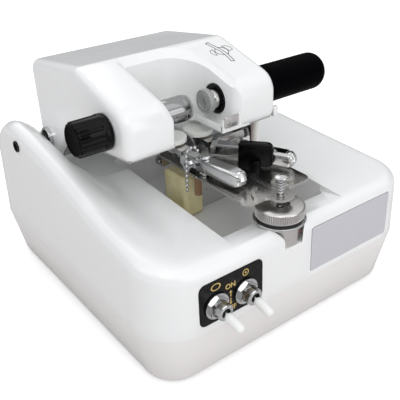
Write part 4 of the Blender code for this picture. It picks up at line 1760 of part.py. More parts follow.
def settle():
    """Put the origin under the middle of everything, on the table."""
    bpy.context.view_layer.update()
    depsgraph = bpy.context.evaluated_depsgraph_get()
    places = []
    for item in parts.objects:
        if item.type == "MESH":
            found = item.evaluated_get(depsgraph)
            mesh = found.to_mesh()
            places += [found.matrix_world @ vertex.co for vertex in mesh.vertices]
            found.to_mesh_clear()
    middle = [(min(p[axis] for p in places) + max(p[axis] for p in places)) / 2 for axis in (0, 1)]
    pivots["root"][0].location = (-middle[0], -middle[1], 0)
    bpy.context.view_layer.update()
    for name, (pivot, _) in pivots.items():
        print("pivot", name, [round(value, 6) for value in pivot.matrix_world.translation])


def build():
    start_scene()
    add_pivot("root", (0, 0, 0))
    hang("root", make_upper_shell(), make_lower_tray())
    make_front()
    make_dial()
    make_plate()
    make_arms()
    make_lever_and_chain()
    make_wheel()
    make_head()
    make_electrics()
    for tool in cutters.objects:
        tool.parent = pivots["root"][0]
    settle()


build()
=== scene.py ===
"""Looks of the lens groover: materials, detailed skins, small pieces, studio and camera."""
import json
import math

import bmesh
import bpy
from mathutils import Matrix, Vector, noise


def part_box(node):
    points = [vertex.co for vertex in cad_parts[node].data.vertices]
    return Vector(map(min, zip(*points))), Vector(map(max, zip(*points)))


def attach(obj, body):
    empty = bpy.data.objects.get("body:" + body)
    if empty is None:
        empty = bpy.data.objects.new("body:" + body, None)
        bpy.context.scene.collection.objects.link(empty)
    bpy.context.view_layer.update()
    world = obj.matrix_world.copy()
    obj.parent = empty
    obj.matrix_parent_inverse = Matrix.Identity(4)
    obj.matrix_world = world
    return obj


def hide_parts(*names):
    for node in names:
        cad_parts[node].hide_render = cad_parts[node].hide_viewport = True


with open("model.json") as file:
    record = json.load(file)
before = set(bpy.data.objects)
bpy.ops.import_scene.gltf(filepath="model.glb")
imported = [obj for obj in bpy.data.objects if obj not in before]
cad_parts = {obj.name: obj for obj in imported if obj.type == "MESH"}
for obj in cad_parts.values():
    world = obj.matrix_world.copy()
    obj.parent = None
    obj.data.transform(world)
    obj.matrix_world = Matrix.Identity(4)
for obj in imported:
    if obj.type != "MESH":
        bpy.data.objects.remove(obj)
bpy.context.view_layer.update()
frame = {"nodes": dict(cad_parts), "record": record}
MM = 0.001
QUARTER = math.pi / 2
ORIGIN = Vector((0, 0, 0))
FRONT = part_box("upper_shell")[0][1]     # the front face at the belt line


def at(x, y, z):
    """Millimetres from the middle, the front face and the table, as metres in the frame."""
    return Vector((x * MM, y * MM + FRONT, z * MM))


# Materials

def nodes_of(name):
    surface = bpy.data.materials.new(name)
    surface.use_nodes = True
    tree = surface.node_tree
    return surface, tree, tree.nodes["Principled BSDF"]


def feed(tree, socket, value):
    """Link a socket to an output, or give it a plain value."""
    if isinstance(value, bpy.types.NodeSocket):
        tree.links.new(value, socket)
    else:
        socket.default_value = value


def feed_all(tree, node, **sockets):
    for key, value in sockets.items():
        feed(tree, node.inputs[key.replace("_", " ")], value)


def add(tree, kind, *firsts, **values):
    """A node: its first sockets take the unnamed values, its properties or sockets the named ones."""
    node = tree.nodes.new(kind)
    for socket, value in zip(node.inputs, firsts):
        feed(tree, socket, value)
    for key, value in values.items():
        if hasattr(node, key):
            setattr(node, key, value)
        else:
            feed(tree, node.inputs[key], value)
    return node


def mixed(tree, share, first, second, blend="MIX"):
    """A mix of two colours, by a number or a link."""
    node = add(tree, "ShaderNodeMix", data_type="RGBA", blend_type=blend)
    for number, value in ((0, share), (6, first), (7, second)):
        feed(tree, node.inputs[number], value)
    return node.outputs[2]


def ramp(tree, source, *stops):
    """A colour that follows the source's value through (position, colour) stops."""
    node = add(tree, "ShaderNodeValToRGB", source)
    elements = node.color_ramp.elements
    for number, (position, colour) in enumerate(stops):
        element = elements[number] if number < 2 else elements.new(position)
        element.position, element.color = position, (*colour, 1)
    return node.outputs[0]


def finish(name, colour, rough=(0.3, 0.4), metallic=0.0, vary=0.04, grain=90, bump=0.05, bump_grain=700,
           stretch=(1, 1, 1), dark=None, dark_grain=25, dark_amount=(0.55, 0.75), **sockets):
    """A surface whose tone, roughness and relief all follow their own noises."""
    surface, tree, shader = nodes_of(name)
    place = add(tree, "ShaderNodeTexCoord").outputs["Object"]
    scaled = add(tree, "ShaderNodeMapping", place, Scale=stretch).outputs[0]

    def noises(vector, scale, **values):
        return add(tree, "ShaderNodeTexNoise", Vector=vector, Scale=scale, **values).outputs["Fac"]

    shades = [(*[min(1, max(0, c * (1 + way * vary))) for c in colour], 1) for way in (-1, 1)]
    result = mixed(tree, noises(scaled, grain, Detail=5.0, Roughness=0.6), *shades)
    if dark is not None:
        patch = noises(place, dark_grain, Detail=6.0, Roughness=0.7)
        share = add(tree, "ShaderNodeMapRange", patch, *dark_amount).outputs[0]
        result = mixed(tree, share, result, (*dark, 1))
    gloss = noises(scaled, grain * 0.6, Detail=6.0, Roughness=0.65)
    relief = noises(scaled, bump_grain, Detail=3.0)
    feed_all(tree, shader, Base_Color=result, Metallic=metallic,
             Roughness=add(tree, "ShaderNodeMapRange", gloss, 0.3, 0.7, *rough).outputs[0],
             Normal=add(tree, "ShaderNodeBump", Strength=bump, Distance=0.0004, Height=relief).outputs[0],
             **sockets)
    return surface


WHITE = finish("white_moulding", (0.84, 0.845, 0.845), (0.16, 0.24), vary=0.012, grain=30, bump=0.018,
               bump_grain=420, Coat_Weight=0.35, Coat_Roughness=0.06)
BLACK = finish("black_gloss", (0.002, 0.002, 0.0024), (0.07, 0.16), vary=0.25, grain=160, bump=0.04,
               Specular_IOR_Level=0.14)
GRIP_BLACK = finish("black_grip", (0.0015, 0.0015, 0.002), (0.34, 0.46), vary=0.3, grain=220, bump=0.10,
                    bump_grain=1500, Specular_IOR_Level=0.01)
MATT = finish("black_matt", (0.010, 0.010, 0.011), (0.42, 0.6), vary=0.2, grain=300, bump=0.15,
              bump_grain=2200, Specular_IOR_Level=0.2)
PANEL = finish("panel_black", (0.006, 0.0058, 0.0056), (0.20, 0.34), vary=0.25, grain=260, bump=0.08,
               bump_grain=2600, Specular_IOR_Level=0.18)
# The tray's white is a darker, slightly pinker copy of the housing's white: painted shade for the tray's
# shaded lower sides.
TRAY_WHITE_PAINTED_SHADE = finish("tray_moulding_painted_shade", (0.80, 0.778, 0.768), (0.18, 0.27), vary=0.012, grain=30, bump=0.018,
                    bump_grain=420, Coat_Weight=0.3, Coat_Roughness=0.07)
# The chuck's chrome is darkened to about half the tone of the other chrome: painted shade standing in for the
# dark surroundings that the chuck reflects.
CHUCK_CHROME_PAINTED_SHADE = finish("chuck_chrome_painted_shade", (0.30, 0.304, 0.308), (0.05, 0.11), 1.0, vary=0.05, grain=90, bump=0.01,
                     stretch=(1, 8, 1))
CHROME = finish("chrome", (0.58, 0.585, 0.59), (0.05, 0.13), 1.0, vary=0.03, grain=140, bump=0.02)
SATIN = finish("satin_chrome", (0.50, 0.50, 0.49), (0.16, 0.30), 1.0, vary=0.06, grain=90, bump=0.05,
               stretch=(1, 6, 1), bump_grain=900)
STEEL = finish("steel", (0.42, 0.42, 0.42), (0.2, 0.36), 1.0, vary=0.08, grain=160, bump=0.06)
PLATE = finish("plate_steel", (0.50, 0.49, 0.47), (0.14, 0.30), 1.0, vary=0.07, grain=45, bump=0.06,
               stretch=(8, 1, 1), bump_grain=700, dark=(0.33, 0.31, 0.29), dark_grain=60,
               dark_amount=(0.58, 0.8))
NICKEL = finish("nickel", (0.60, 0.585, 0.575), (0.24, 0.38), 1.0, vary=0.06, grain=120, bump=0.05)
NYLON = finish("nylon", (0.86, 0.845, 0.79), (0.34, 0.5), vary=0.03, grain=120, bump=0.06, bump_grain=1800,
               Subsurface_Weight=0.12)
GEAR_NYLON = finish("gear_nylon", (0.76, 0.73, 0.66), (0.36, 0.5), vary=0.04, grain=120, bump=0.06)
SLEEVE = finish("white_sleeve", (0.84, 0.84, 0.83), (0.34, 0.5), vary=0.02, grain=200, bump=0.05,
                bump_grain=1500)
PAD = finish("clear_pad", (0.40, 0.41, 0.40), (0.12, 0.22), vary=0.08, grain=200, bump=0.04,
             Coat_Weight=0.5, Transmission_Weight=0.35)
BROWN = finish("brown_pin", (0.30, 0.175, 0.10), (0.4, 0.55), vary=0.12, grain=250, bump=0.1)
BRONZE = finish("bronze", (0.66, 0.45, 0.19), (0.2, 0.36), 1.0, vary=0.08, grain=180, bump=0.05)
GOLD_INK = finish("gold_ink", (0.62, 0.45, 0.16), (0.42, 0.58), 0.2, vary=0.1, grain=900, bump=0.08,
                  bump_grain=3000)
DARK_INK = finish("dark_ink", (0.05, 0.055, 0.06), (0.4, 0.55), vary=0.15, grain=900, bump=0.05,
                  bump_grain=3000)
RED_INK = finish("red_ink", (0.55, 0.04, 0.03), (0.35, 0.5), vary=0.1, grain=900, bump=0.05)
LABEL = finish("label_metal", (0.66, 0.66, 0.70), (0.32, 0.46), 0.5, vary=0.035, grain=220, bump=0.08,
               stretch=(1, 1, 14), bump_grain=1100)
RUBBER = finish("rubber", (0.022, 0.022, 0.023), (0.55, 0.75), vary=0.2, grain=300, bump=0.2,
                bump_grain=1600)
WHEEL = finish("wheel_grit", (0.20, 0.20, 0.21), (0.3, 0.5), 0.85, vary=0.3, grain=2600, bump=0.5,
               bump_grain=4200)
LAMINATE = finish("laminate", (0.24, 0.23, 0.22), (0.35, 0.55), 0.7, vary=0.2, grain=40, bump=0.25,
                  stretch=(1, 1, 60), bump_grain=60)
BOARD = finish("circuit_board", (0.02, 0.15, 0.06), (0.3, 0.45), vary=0.25, grain=350, bump=0.1,
               dark=(0.10, 0.22, 0.08), dark_grain=420, dark_amount=(0.5, 0.56))
MOTOR = finish("motor_can", (0.50, 0.50, 0.49), (0.26, 0.42), 1.0, vary=0.06, grain=60, bump=0.08,
               stretch=(14, 1, 1))


def sponge_material():
    surface, tree, shader = nodes_of("sponge_foam")
    place = add(tree, "ShaderNodeTexCoord").outputs["Object"]
    pores, small = [add(tree, "ShaderNodeTexVoronoi", Vector=place, Scale=scale).outputs["Distance"]
                    for scale in (1100.0, 2400.0)]
    stain = add(tree, "ShaderNodeTexNoise", Vector=place, Scale=70.0, Detail=6.0).outputs["Fac"]
    foam = ramp(tree, pores, (0.05, (0.74, 0.64, 0.32)), (0.42, (0.96, 0.89, 0.56)))
    tint = ramp(tree, stain, (0.35, (0.78, 0.70, 0.52)), (0.65, (1, 1, 1)))
    relief = add(tree, "ShaderNodeMath", pores, small, operation="ADD").outputs[0]
    feed_all(tree, shader, Base_Color=mixed(tree, 0.6, foam, tint, "MULTIPLY"),
             Normal=add(tree, "ShaderNodeBump", Strength=0.7, Distance=0.0007, Height=relief).outputs[0],
             Roughness=add(tree, "ShaderNodeMapRange", stain, 0, 1, 0.75, 0.95).outputs[0])
    return surface


SPONGE = sponge_material()

NODE_FINISH = {
    "upper_shell": WHITE, "lower_tray": TRAY_WHITE_PAINTED_SHADE, "head_cover": WHITE, "switch_panel": PANEL,
    "label_plate": LABEL, "lens_switch_nut": CHROME, "wheel_switch_nut": CHROME, "lens_switch_body": SATIN,
    "wheel_switch_body": SATIN, "lens_switch_lever": CHROME, "wheel_switch_lever": CHROME,
    "lens_lever_sleeve": SLEEVE, "wheel_lever_sleeve": SLEEVE, "dial_housing": NICKEL,
    "dial_washer": RUBBER, "depth_dial": NICKEL, "depth_spindle": CHROME, "spindle_spring": CHROME,
    "guide_plate": PLATE, "plate_guide_pin": BROWN, "plate_pivot_pin": STEEL, "left_arm": CHROME,
    "right_arm": CHROME, "left_arm_stud": CHROME, "right_arm_stud": CHROME, "left_roller": NYLON,
    "right_roller": NYLON, "opening_lever": BLACK, "bead_chain": CHROME, "grooving_wheel": WHEEL,
    "wheel_shaft": CHROME, "wheel_pulley": STEEL, "spindle_block": SATIN, "drive_belt": RUBBER,
    "motor_pulley": STEEL, "wheel_motor": MOTOR, "sponge": SPONGE, "stop_post": NYLON, "head_base": STEEL,
    "hinge_shaft": CHROME, "left_hinge_bush": MATT, "right_hinge_bush": MATT, "lens_motor": MOTOR,
    "motor_pinion": STEEL, "idler_gear": GEAR_NYLON, "chuck_gear": STEEL, "chuck_knob": BLACK,
    "chuck_shaft": STEEL, "chuck_bush": BRONZE, "left_chuck": CHUCK_CHROME_PAINTED_SHADE, "left_pad": PAD,
    "right_pad": PAD, "clamp_shaft": SATIN, "clamp_guide": BLACK, "clamp_grip": GRIP_BLACK,
    "power_inlet": MATT, "fuse_holder": MATT, "transformer": LAMINATE, "control_board": BOARD,
}
BODIES = {node: body for body, names in frame["record"]["behaviour"]["bodies"].items() for node in names}
for node, surface in NODE_FINISH.items():
    item = frame["nodes"][node]
    for slot in item.material_slots:
        slot.material = surface
    if not item.material_slots:
        item.data.materials.append(surface)


# Making pieces
TURNS = {"Z": Matrix.Identity(4), "-Z": Matrix.Rotation(math.pi, 4, "X"),
         "X": Matrix.Rotation(QUARTER, 4, "Y"), "-X": Matrix.Rotation(-QUARTER, 4, "Y"),
         "Y": Matrix.Rotation(-QUARTER, 4, "X"), "-Y": Matrix.Rotation(QUARTER, 4, "X")}
# Takes the (y, z) points of a side profile into the frame, its thickness along x.
SIDEWAYS = Matrix(((0, 0, 1, 0), (1, 0, 0, 0), (0, 1, 0, 0), (0, 0, 0, 1)))


def keep(item, surface, body, smooth=34):
    """Give a piece its finish and body; its edges above an angle stay sharp."""
    item.data.materials.clear()
    item.data.materials.append(surface)
    item.data.shade_smooth()
    item.data.set_sharp_from_angle(angle=math.radians(smooth))
    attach(item, body)


def keep_with(item, node, surface=None, smooth=34):
    """Keep a piece with a CAD node's body, and with its finish unless another is given."""
    keep(item, surface or NODE_FINISH[node], BODIES[node], smooth)


def stand_for(item, node, smooth=34):
    """A finer piece that takes a CAD node's place."""
    keep_with(item, node, smooth=smooth)
    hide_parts(node)


def placed(name, data):
    item = bpy.data.objects.new(name, data)
    bpy.context.scene.collection.objects.link(item)
    return item


def linked(name, cage):
    """A piece from a bmesh."""
    mesh = bpy.data.meshes.new(name)
    cage.to_mesh(mesh)
    cage.free()
    return placed(name, mesh)


def evaluated(item):
    """The mesh of an item with its modifiers or its curve's settings applied."""
    bpy.context.view_layer.update()
    return bpy.data.meshes.new_from_object(item.evaluated_get(bpy.context.evaluated_depsgraph_get()))


def from_curve(name, shape):
    """A mesh piece from a curve or from text."""
    item = placed(name, shape)
    mesh = evaluated(item)
    bpy.data.objects.remove(item)
    return placed(name, mesh)


def stand(item, start, axis="Z"):
    """Move a piece made along Z to a place, turned to an axis or by a matrix."""
    item.data.transform(Matrix.Translation(start) @ (TURNS[axis] if isinstance(axis, str) else axis))
    return item


def turned(name, profile, start, axis="Z", steps=72, closed=False):
    """A turned piece from (radius, height) points in millimetres, its seams closed."""
    cage = bmesh.new()
    rows = []
    for radius, height in profile:
        if radius <= 1e-9:
            rows.append([cage.verts.new((0, 0, height * MM))])
        else:
            rows.append([cage.verts.new((radius * MM * math.cos(math.tau * n / steps),
                                         radius * MM * math.sin(math.tau * n / steps), height * MM))
                         for n in range(steps)])
    pairs = list(zip(rows, rows[1:])) + ([(rows[-1], rows[0])] if closed else [])
    for first, second in pairs:
        for n in range(steps):
            m = (n + 1) % steps
            if len(first) == 1 and len(second) == 1:
                break
            if len(first) == 1:
                cage.faces.new((first[0], second[n], second[m]))
            elif len(second) == 1:
                cage.faces.new((first[n], second[0], first[m]))
            else:
                cage.faces.new((first[n], second[n], second[m], first[m]))
    bmesh.ops.recalc_face_normals(cage, faces=cage.faces)
    return stand(linked(name, cage), start, axis)


def loft(name, rings):
    """Rings of places joined into a capped skin."""
    cage = bmesh.new()
    rows = [[cage.verts.new(place) for place in ring] for ring in rings]
    for lower, upper in zip(rows, rows[1:]):
        for n in range(len(lower)):
            m = (n + 1) % len(lower)
            cage.faces.new((lower[n], lower[m], upper[m], upper[n]))
    cage.faces.new(rows[0])
    cage.faces.new(rows[-1])
    bmesh.ops.recalc_face_normals(cage, faces=cage.faces)
    return linked(name, cage)


def block(name, low, high):
    cage = bmesh.new()
    bmesh.ops.create_cube(cage, size=1)
    bmesh.ops.scale(cage, vec=high - low, verts=cage.verts)
    bmesh.ops.translate(cage, vec=(low + high) / 2, verts=cage.verts)
    return linked(name, cage)


def slab(name, points, thickness, place):
    """A flat outline raised by a thickness, both in millimetres, then put in place by a matrix."""
    item = loft(name, [[(x * MM, y * MM, z * MM) for x, y in points] for z in (0, thickness)])
    item.data.transform(place)
    return item


def plan_slab(name, points, low, height):
    """An outline of (x, y) points, raised from a height above the table."""
    return slab(name, points, height, Matrix.Translation(at(0, 0, low)))


def side_slab(name, points, left, width):
    """A side profile of (y, z) points, widened to the right."""
    return slab(name, points, width, Matrix.Translation(at(left, 0, 0)) @ SIDEWAYS)


def cut(item, *tools, operation="DIFFERENCE"):
    for tool in tools:
        step = item.modifiers.new("Boolean", "BOOLEAN")
        step.operation, step.object, step.solver = operation, tool, "EXACT"


def soften(item, width, segments=3, angle=40):
    """Round the edges above an angle."""
    step = item.modifiers.new("Bevel", "BEVEL")
    step.width, step.segments, step.limit_method = width * MM, segments, "ANGLE"
    step.angle_limit = math.radians(angle)
    step.use_clamp_overlap = True


def applied(item, *tools):
    """Bake the modifiers and drop the cutters."""
    mesh = evaluated(item)
    item.modifiers.clear()
    item.data = mesh
    for tool in tools:
        bpy.data.objects.remove(tool)


def joined(name, items):
    """One mesh from several."""
    cage = bmesh.new()
    for item in items:
        cage.from_mesh(item.data)
        bpy.data.objects.remove(item)
    return linked(name, cage)


def arc(centre, radius, first, last, steps):
    return [(centre[0] + radius * math.cos(first + (last - first) * n / steps),
             centre[1] + radius * math.sin(first + (last - first) * n / steps)) for n in range(steps + 1)]


def rounded(corners, radii, steps=8):
    """An outline whose corners get their radii."""
    outline, count = [], len(corners)
    for number, (corner, radius) in enumerate(zip(corners, radii)):
        here = Vector(corner)
        before = (Vector(corners[number - 1]) - here).normalized()
        after = (Vector(corners[(number + 1) % count]) - here).normalized()
        if radius == 0:
            outline.append(tuple(here))
            continue
        half = before.angle(after) / 2
        middle = here + (before + after).normalized() * (radius / math.sin(half))
        reach = radius / math.tan(half)
        first, last = here + before * reach - middle, here + after * reach - middle
        start = math.atan2(first.y, first.x)
        sweep = (math.atan2(last.y, last.x) - start + math.pi) % math.tau - math.pi
        outline += arc(middle, radius, start, start + sweep, steps)
    return outline


def rectangle(left, bottom, width, height, radius=0, steps=6):
    right, top = left + width, bottom + height
    return rounded([(left, bottom), (right, bottom), (right, top), (left, top)], [radius] * 4, steps)


def inset(corners, distances):
    """An outline whose edges move inwards by their distances."""
    count, lines = len(corners), []
    for n in range(count):
        here, there = Vector(corners[n]), Vector(corners[(n + 1) % count])
        along = (there - here).normalized()
        lines.append((here + Vector((-along.y, along.x)) * distances[n], along))
    moved = []
    for n in range(count):
        (place, along), (other, way) = lines[n - 1], lines[n]
        gap = other - place
        reach = (gap.x * way.y - gap.y * way.x) / (along.x * way.y - along.y * way.x)
        moved.append(tuple(place + along * reach))
    return moved


def rod(name, radius, start, length, axis="Z", steps=48):
    return turned(name, [(0, length), (radius, length), (radius, 0), (0, 0)], start, axis, steps)


# Upper housing
HALF, DEPTH = 105.0, 222.0              # half of the width, and the depth
BELT, TOP, SLOPE = 38, 80.5, 0.049      # the seam's and the front top edge's height, and the top's slope
DRAFT, EDGE, CORNER = 0.026, 8.5, 27.5  # the walls' lean, the top edge's and the plan's corner radius
EAR_PLACES = (0, 0.135, 0.27, 0.405, 0.54, 0.63, 0.685, 0.72, 0.757, 0.793, 0.838, 0.883, 0.93, 1)
EAR_RISES = (0.10, 0.205, 0.345, 0.575, 0.80, 0.905, 0.955, 0.985, 1, 0.995, 0.87, 0.60, 0.14, 0)
EAR_RISE = 26.5
EAR_START, EAR_FULL = -62, -98          # from where to where the left ear rises
HINGE = (163.0, 103.534)                # (y, z) of the head's hinge
CHUCK = (80.0, 135.534)                 # (y, z) of the chuck and the clamp
DIAL = (-6.5, 14.0)                     # (x, y) of the depth dial
SWITCHES, SWITCH_HEIGHT = {"lens": -65.95, "wheel": -44.85}, 53.8
SCREW_SEATS = ((-84, 21), (84, 21), (84, 201), (-84, 201))
FEET = ((-67, 38), (67, 38), (67, 184), (-67, 184))


def on_front(depth):
    """Takes points (across, above the belt line) onto the leaning front face."""
    return Matrix.Translation(at(0, depth, BELT)) @ Matrix.Rotation(QUARTER - math.atan(DRAFT), 4, "X")


def ear_share(place):
    """The left ear's rise at a place from front to rear, smooth through the table's values."""
    place = min(max(place, 0), 1)
    last = len(EAR_PLACES) - 2
    n = max(k for k in range(last + 1) if EAR_PLACES[k] <= place)

    def slope(k):
        low, high = max(k - 1, 0), min(k + 1, last + 1)
        return (EAR_RISES[high] - EAR_RISES[low]) / (EAR_PLACES[high] - EAR_PLACES[low])

    span = EAR_PLACES[n + 1] - EAR_PLACES[n]
    t = (place - EAR_PLACES[n]) / span
    rise = EAR_RISES[n] * (1 + 2 * t) * (1 - t) ** 2 + EAR_RISES[n + 1] * t * t * (3 - 2 * t)
    return rise + span * (slope(n) * t * (1 - t) ** 2 - slope(n + 1) * t * t * (1 - t))


def top_plane(y):
    return TOP + SLOPE * y


def top_height(x, y):
    across = min(max((EAR_START - x) / (EAR_START - EAR_FULL), 0), 1)
    return top_plane(y) + EAR_RISE * ear_share(y / DEPTH) * across * across * (3 - 2 * across)


def outline(shrink, left=90, end=10, right=10):
    """The housing's plan, drawn in by a distance, its straight sides in this many pieces."""
    radius = max(CORNER - shrink, 4)
    near_x, far_x = shrink + radius - HALF, HALF - shrink - radius
    near_y, far_y = shrink + radius, DEPTH - shrink - radius
    centres = ((near_x, near_y), (near_x, far_y), (far_x, far_y), (far_x, near_y))
    arcs = [arc(c, radius, -QUARTER * (n + 1), -QUARTER * (n + 2), 12) for n, c in enumerate(centres)]
    points = []
    for n, pieces in enumerate((left, end, right, end)):
        points += arcs[n]
        here, there = Vector(arcs[n][-1]), Vector(arcs[(n + 1) % 4][0])
        points += [tuple(here.lerp(there, k / pieces)) for k in range(1, pieces)]
    return points


def shell_rings():
    """The housing's walls, its rounded top edge and its top, from the belt line inwards."""
    edge_pieces, inner_pieces, inner = 8, 14, 58
    draft = DRAFT * (TOP - BELT)
    rings = []
    for share in (0, 0.2, 0.4, 0.6, 0.8):
        rings.append([at(x, y, BELT + (top_height(x, y) - EDGE - BELT) * share)
                      for x, y in outline(draft * share)])
    for step in range(edge_pieces + 1):
        angle = QUARTER * step / edge_pieces
        plan = outline(draft + EDGE * (1 - math.cos(angle)))
        rings.append([at(x, y, top_height(x, y) - EDGE * (1 - math.sin(angle))) for x, y in plan])
    start = draft + EDGE
    for step in range(1, inner_pieces + 1):
        plan = outline(start + (inner - start) * step / inner_pieces)
        rings.append([at(x, y, top_height(x, y)) for x, y in plan])
    return rings


def well_rings():
    """The well under the guide plate, its right wall leaning."""
    left, right, front, length, low, rings = -47, 41, 21.5, 118.5, 58, []
    for share, lean in zip((0, 0.1, 0.3, 0.6, 1), (1, 0.62, 0.35, 0.13, 0)):
        plan = rectangle(left, front, right - 9 * lean - left, length, 5, 8)
        rings.append([at(x, y, low + (TOP - low) * share) for x, y in plan])
    return rings + [[place + Vector((0, 0, 25 * MM)) for place in rings[-1]]]


def make_upper():
    shell = loft("housing_skin", shell_rings())
    recess = rounded([(-86, 118), (35.9, 118), (35.9, 226), (-86, 226)], [4, 4, 0, 0])
    fall, crease = (3.2 - SLOPE * 15.5) / 15.5, top_plane(6)
    ledge = [(2, crease + fall * 4), (25.5, crease - fall * 19.5), (25.5, 110), (2, 110)]
    flange, gap = 81.05, 0.3            # the dial housing's flange and the gap under it
    tools = [loft("well_tool", well_rings()),
             plan_slab("recess_tool", recess, 84, 60),
             side_slab("ledge_tool", ledge, -47, 88),
             rod("pocket_tool", 14.8, at(*DIAL, flange - 13.5 - gap), 40, steps=72),
             rod("seat_tool", 15.8, at(*DIAL, flange - gap), 40, steps=72)]
    for name, rect, corner, depth in (("panel", (-77.6, 4.5, 46.2, 28.0), 4.3, 1.3),
                                      ("label", (8.4, 4.2, 72.0, 31.4), 1.8, 1.0)):
        tools.append(slab(name + "_tool", rectangle(*rect, corner), 6, on_front(depth)))
    tools += [block("rear_tool", at(13.75, 220.8, 43.75), at(72, 230, 68.3)),
              block("inlet_tool", at(16, 205, 46), at(44, 225, 66)),
              rod("fuse_tool", 6.6, at(62, 210, 56), 20, "Y"),
              rod("ear_tool", 3.8, at(-110, *HINGE), 12, "X"),
              block("slot_tool", at(29.5, 79.2, 30), at(38, 101.8, 70))]
    cut(shell, *tools)
    base = [(y, top_plane(y) - 1.5) for y in (142, 184)]
    crest = arc(HINGE, 8, math.radians(35), math.radians(145), 20)
    right_ear = side_slab("right_ear", base + crest, 36.5, 12)
    soften(right_ear, 1.2, 4)
    cut(shell, right_ear, operation="UNION")
    holes = [rod("ear_hole", 3.8, at(45, *HINGE), 12, "X")]
    holes += [rod("switch_hole", 5.5, at(x, -5, SWITCH_HEIGHT), 20, "Y") for x in SWITCHES.values()]
    cut(shell, *holes)
    soften(shell, 1.1, 3, 38)
    applied(shell, right_ear, *tools, *holes)
    stand_for(shell, "upper_shell", 30)


make_upper()


def screw(name, place, axis, radius, body, height=1.3, surface=STEEL):
    """A domed cross-head screw whose head's seat lies at the place."""
    head = turned(name, [(0, height), (radius * 0.55, height * 0.92), (radius * 0.9, height * 0.55),
                         (radius, 0.12), (radius, 0), (0, 0)], ORIGIN, steps=32)
    tools = []
    for turn in (0, QUARTER):
        tools.append(block("cross_tool", Vector((-radius * 0.55, -radius * 0.1, height * 0.45)) * MM,
                           Vector((radius * 0.55, radius * 0.1, 3)) * MM))
        tools[-1].data.transform(Matrix.Rotation(turn + 0.4, 4, "Z"))
    cut(head, *tools)
    applied(head, *tools)
    keep(stand(head, place, axis), surface, body)


def make_tray():
    tray = loft("tray_skin", [[at(x, y, z) for x, y in outline(shrink, 4, 4, 4)] for z, shrink in
                              ((1.5, 9.8), (2.4, 7.7), (4.5, 6.8), (36.9, 0.24), (37.55, 0.4), (37.7, 1.2))])
    tools = [rod("seat_tool", 3.2, at(x, y, -1), 4.5) for x, y in SCREW_SEATS]
    cut(tray, *tools)
    applied(tray, *tools)
    stand_for(tray, "lower_tray", 30)
    for n, (x, y) in enumerate(FEET):
        foot = turned(f"foot_{n}", [(0, 1.4), (8, 1.4), (8, 0.9), (7.4, 0), (5.5, 0), (5.2, 0.5), (0, 0.5)],
                      at(x, y, 0), steps=48)
        keep(foot, RUBBER, "housing")
    for n, (x, y) in enumerate(SCREW_SEATS):
        screw(f"tray_screw_{n}", at(x, y, 3.4), "-Z", 2.7, "housing")


make_tray()


# Head
NOSE, NOSE_ROUND = 58.5, 14.5           # the nose's place and the radius of its upper edge
HEAD_LEFT, HEAD_WIDTH = -80.5, 111.5
HEAD_CORNERS = [(NOSE, 121.234), (132, 112.534), (150, 93.034), (176.2, 93.034), (178, 154.534),
                (112, 164.034), (NOSE, 148.734)]
SCOOP_NEAR, SCOOP_BACK = NOSE - 8, NOSE + 48.5      # from before the nose to the scoop's back
SCOOP_RIGHT = -1.8                      # the right lobe's inner wall
SMALL_CORNER, LARGE_CORNER = 6, 24      # the radii at the scoop's back, left and right
# The left lobe's inner wall and how far its top edge rolls over, at the nose and at the scoop's back.
LOBE_WALLS, LOBE_ROLLS = (-46.9, -51.8), (12.0, 3.6)
RIM_DROPS = (11.0, 9.8, 8.7, 7.6, 6.7, 5.8, 5.0, 4.2, 3.4, 2.7, 2.1, 1.6, 1.2, 0.85, 0.55, 0.3, 0.12, 0.02,
             -0.6, -2.0, -5.0, -8.7)


def between(first, second, y):
    return first[1] + (second[1] - first[1]) * (y - first[0]) / (second[0] - first[0])


def head_top(y):
    nose, crease, rear = HEAD_CORNERS[6], HEAD_CORNERS[5], HEAD_CORNERS[4]
    return between(nose, crease, y) if y < crease[0] else between(crease, rear, y)


def nose_top(y):
    """The head's top, with the nose's round edge."""
    slope = math.atan2(HEAD_CORNERS[5][1] - HEAD_CORNERS[6][1], HEAD_CORNERS[5][0] - NOSE)
    middle = NOSE + NOSE_ROUND
    if y > middle - NOSE_ROUND * math.sin(slope):
        return head_top(y)
    rise = math.sqrt(NOSE_ROUND ** 2 - (middle - max(y, NOSE)) ** 2)
    return head_top(middle) - NOSE_ROUND / math.cos(slope) + rise


def scoop_plan(grow):
    """The scoop between the lobes, seen from above and widened by a distance."""
    left, far_left = LOBE_WALLS[0] - grow, LOBE_WALLS[1] - grow
    right, back = SCOOP_RIGHT + grow, SCOOP_BACK + grow
    left_lip, right_lip = max(0.5, 4.5 - grow), 8 - grow
    small, large = SMALL_CORNER + grow, LARGE_CORNER + grow
    points = [(left - left_lip, SCOOP_NEAR)]
    points += arc((left - left_lip, NOSE + 4.2), left_lip, -QUARTER, 0, 10)
    points += arc((far_left + small, back - small), small, math.pi, QUARTER, 10)
    points += arc((right - large, back - large), large, QUARTER, 0, 28)
    points += arc((right + right_lip, NOSE + 7.7), right_lip, math.pi, math.pi + QUARTER, 10)
    return points + [(right + right_lip, SCOOP_NEAR)]


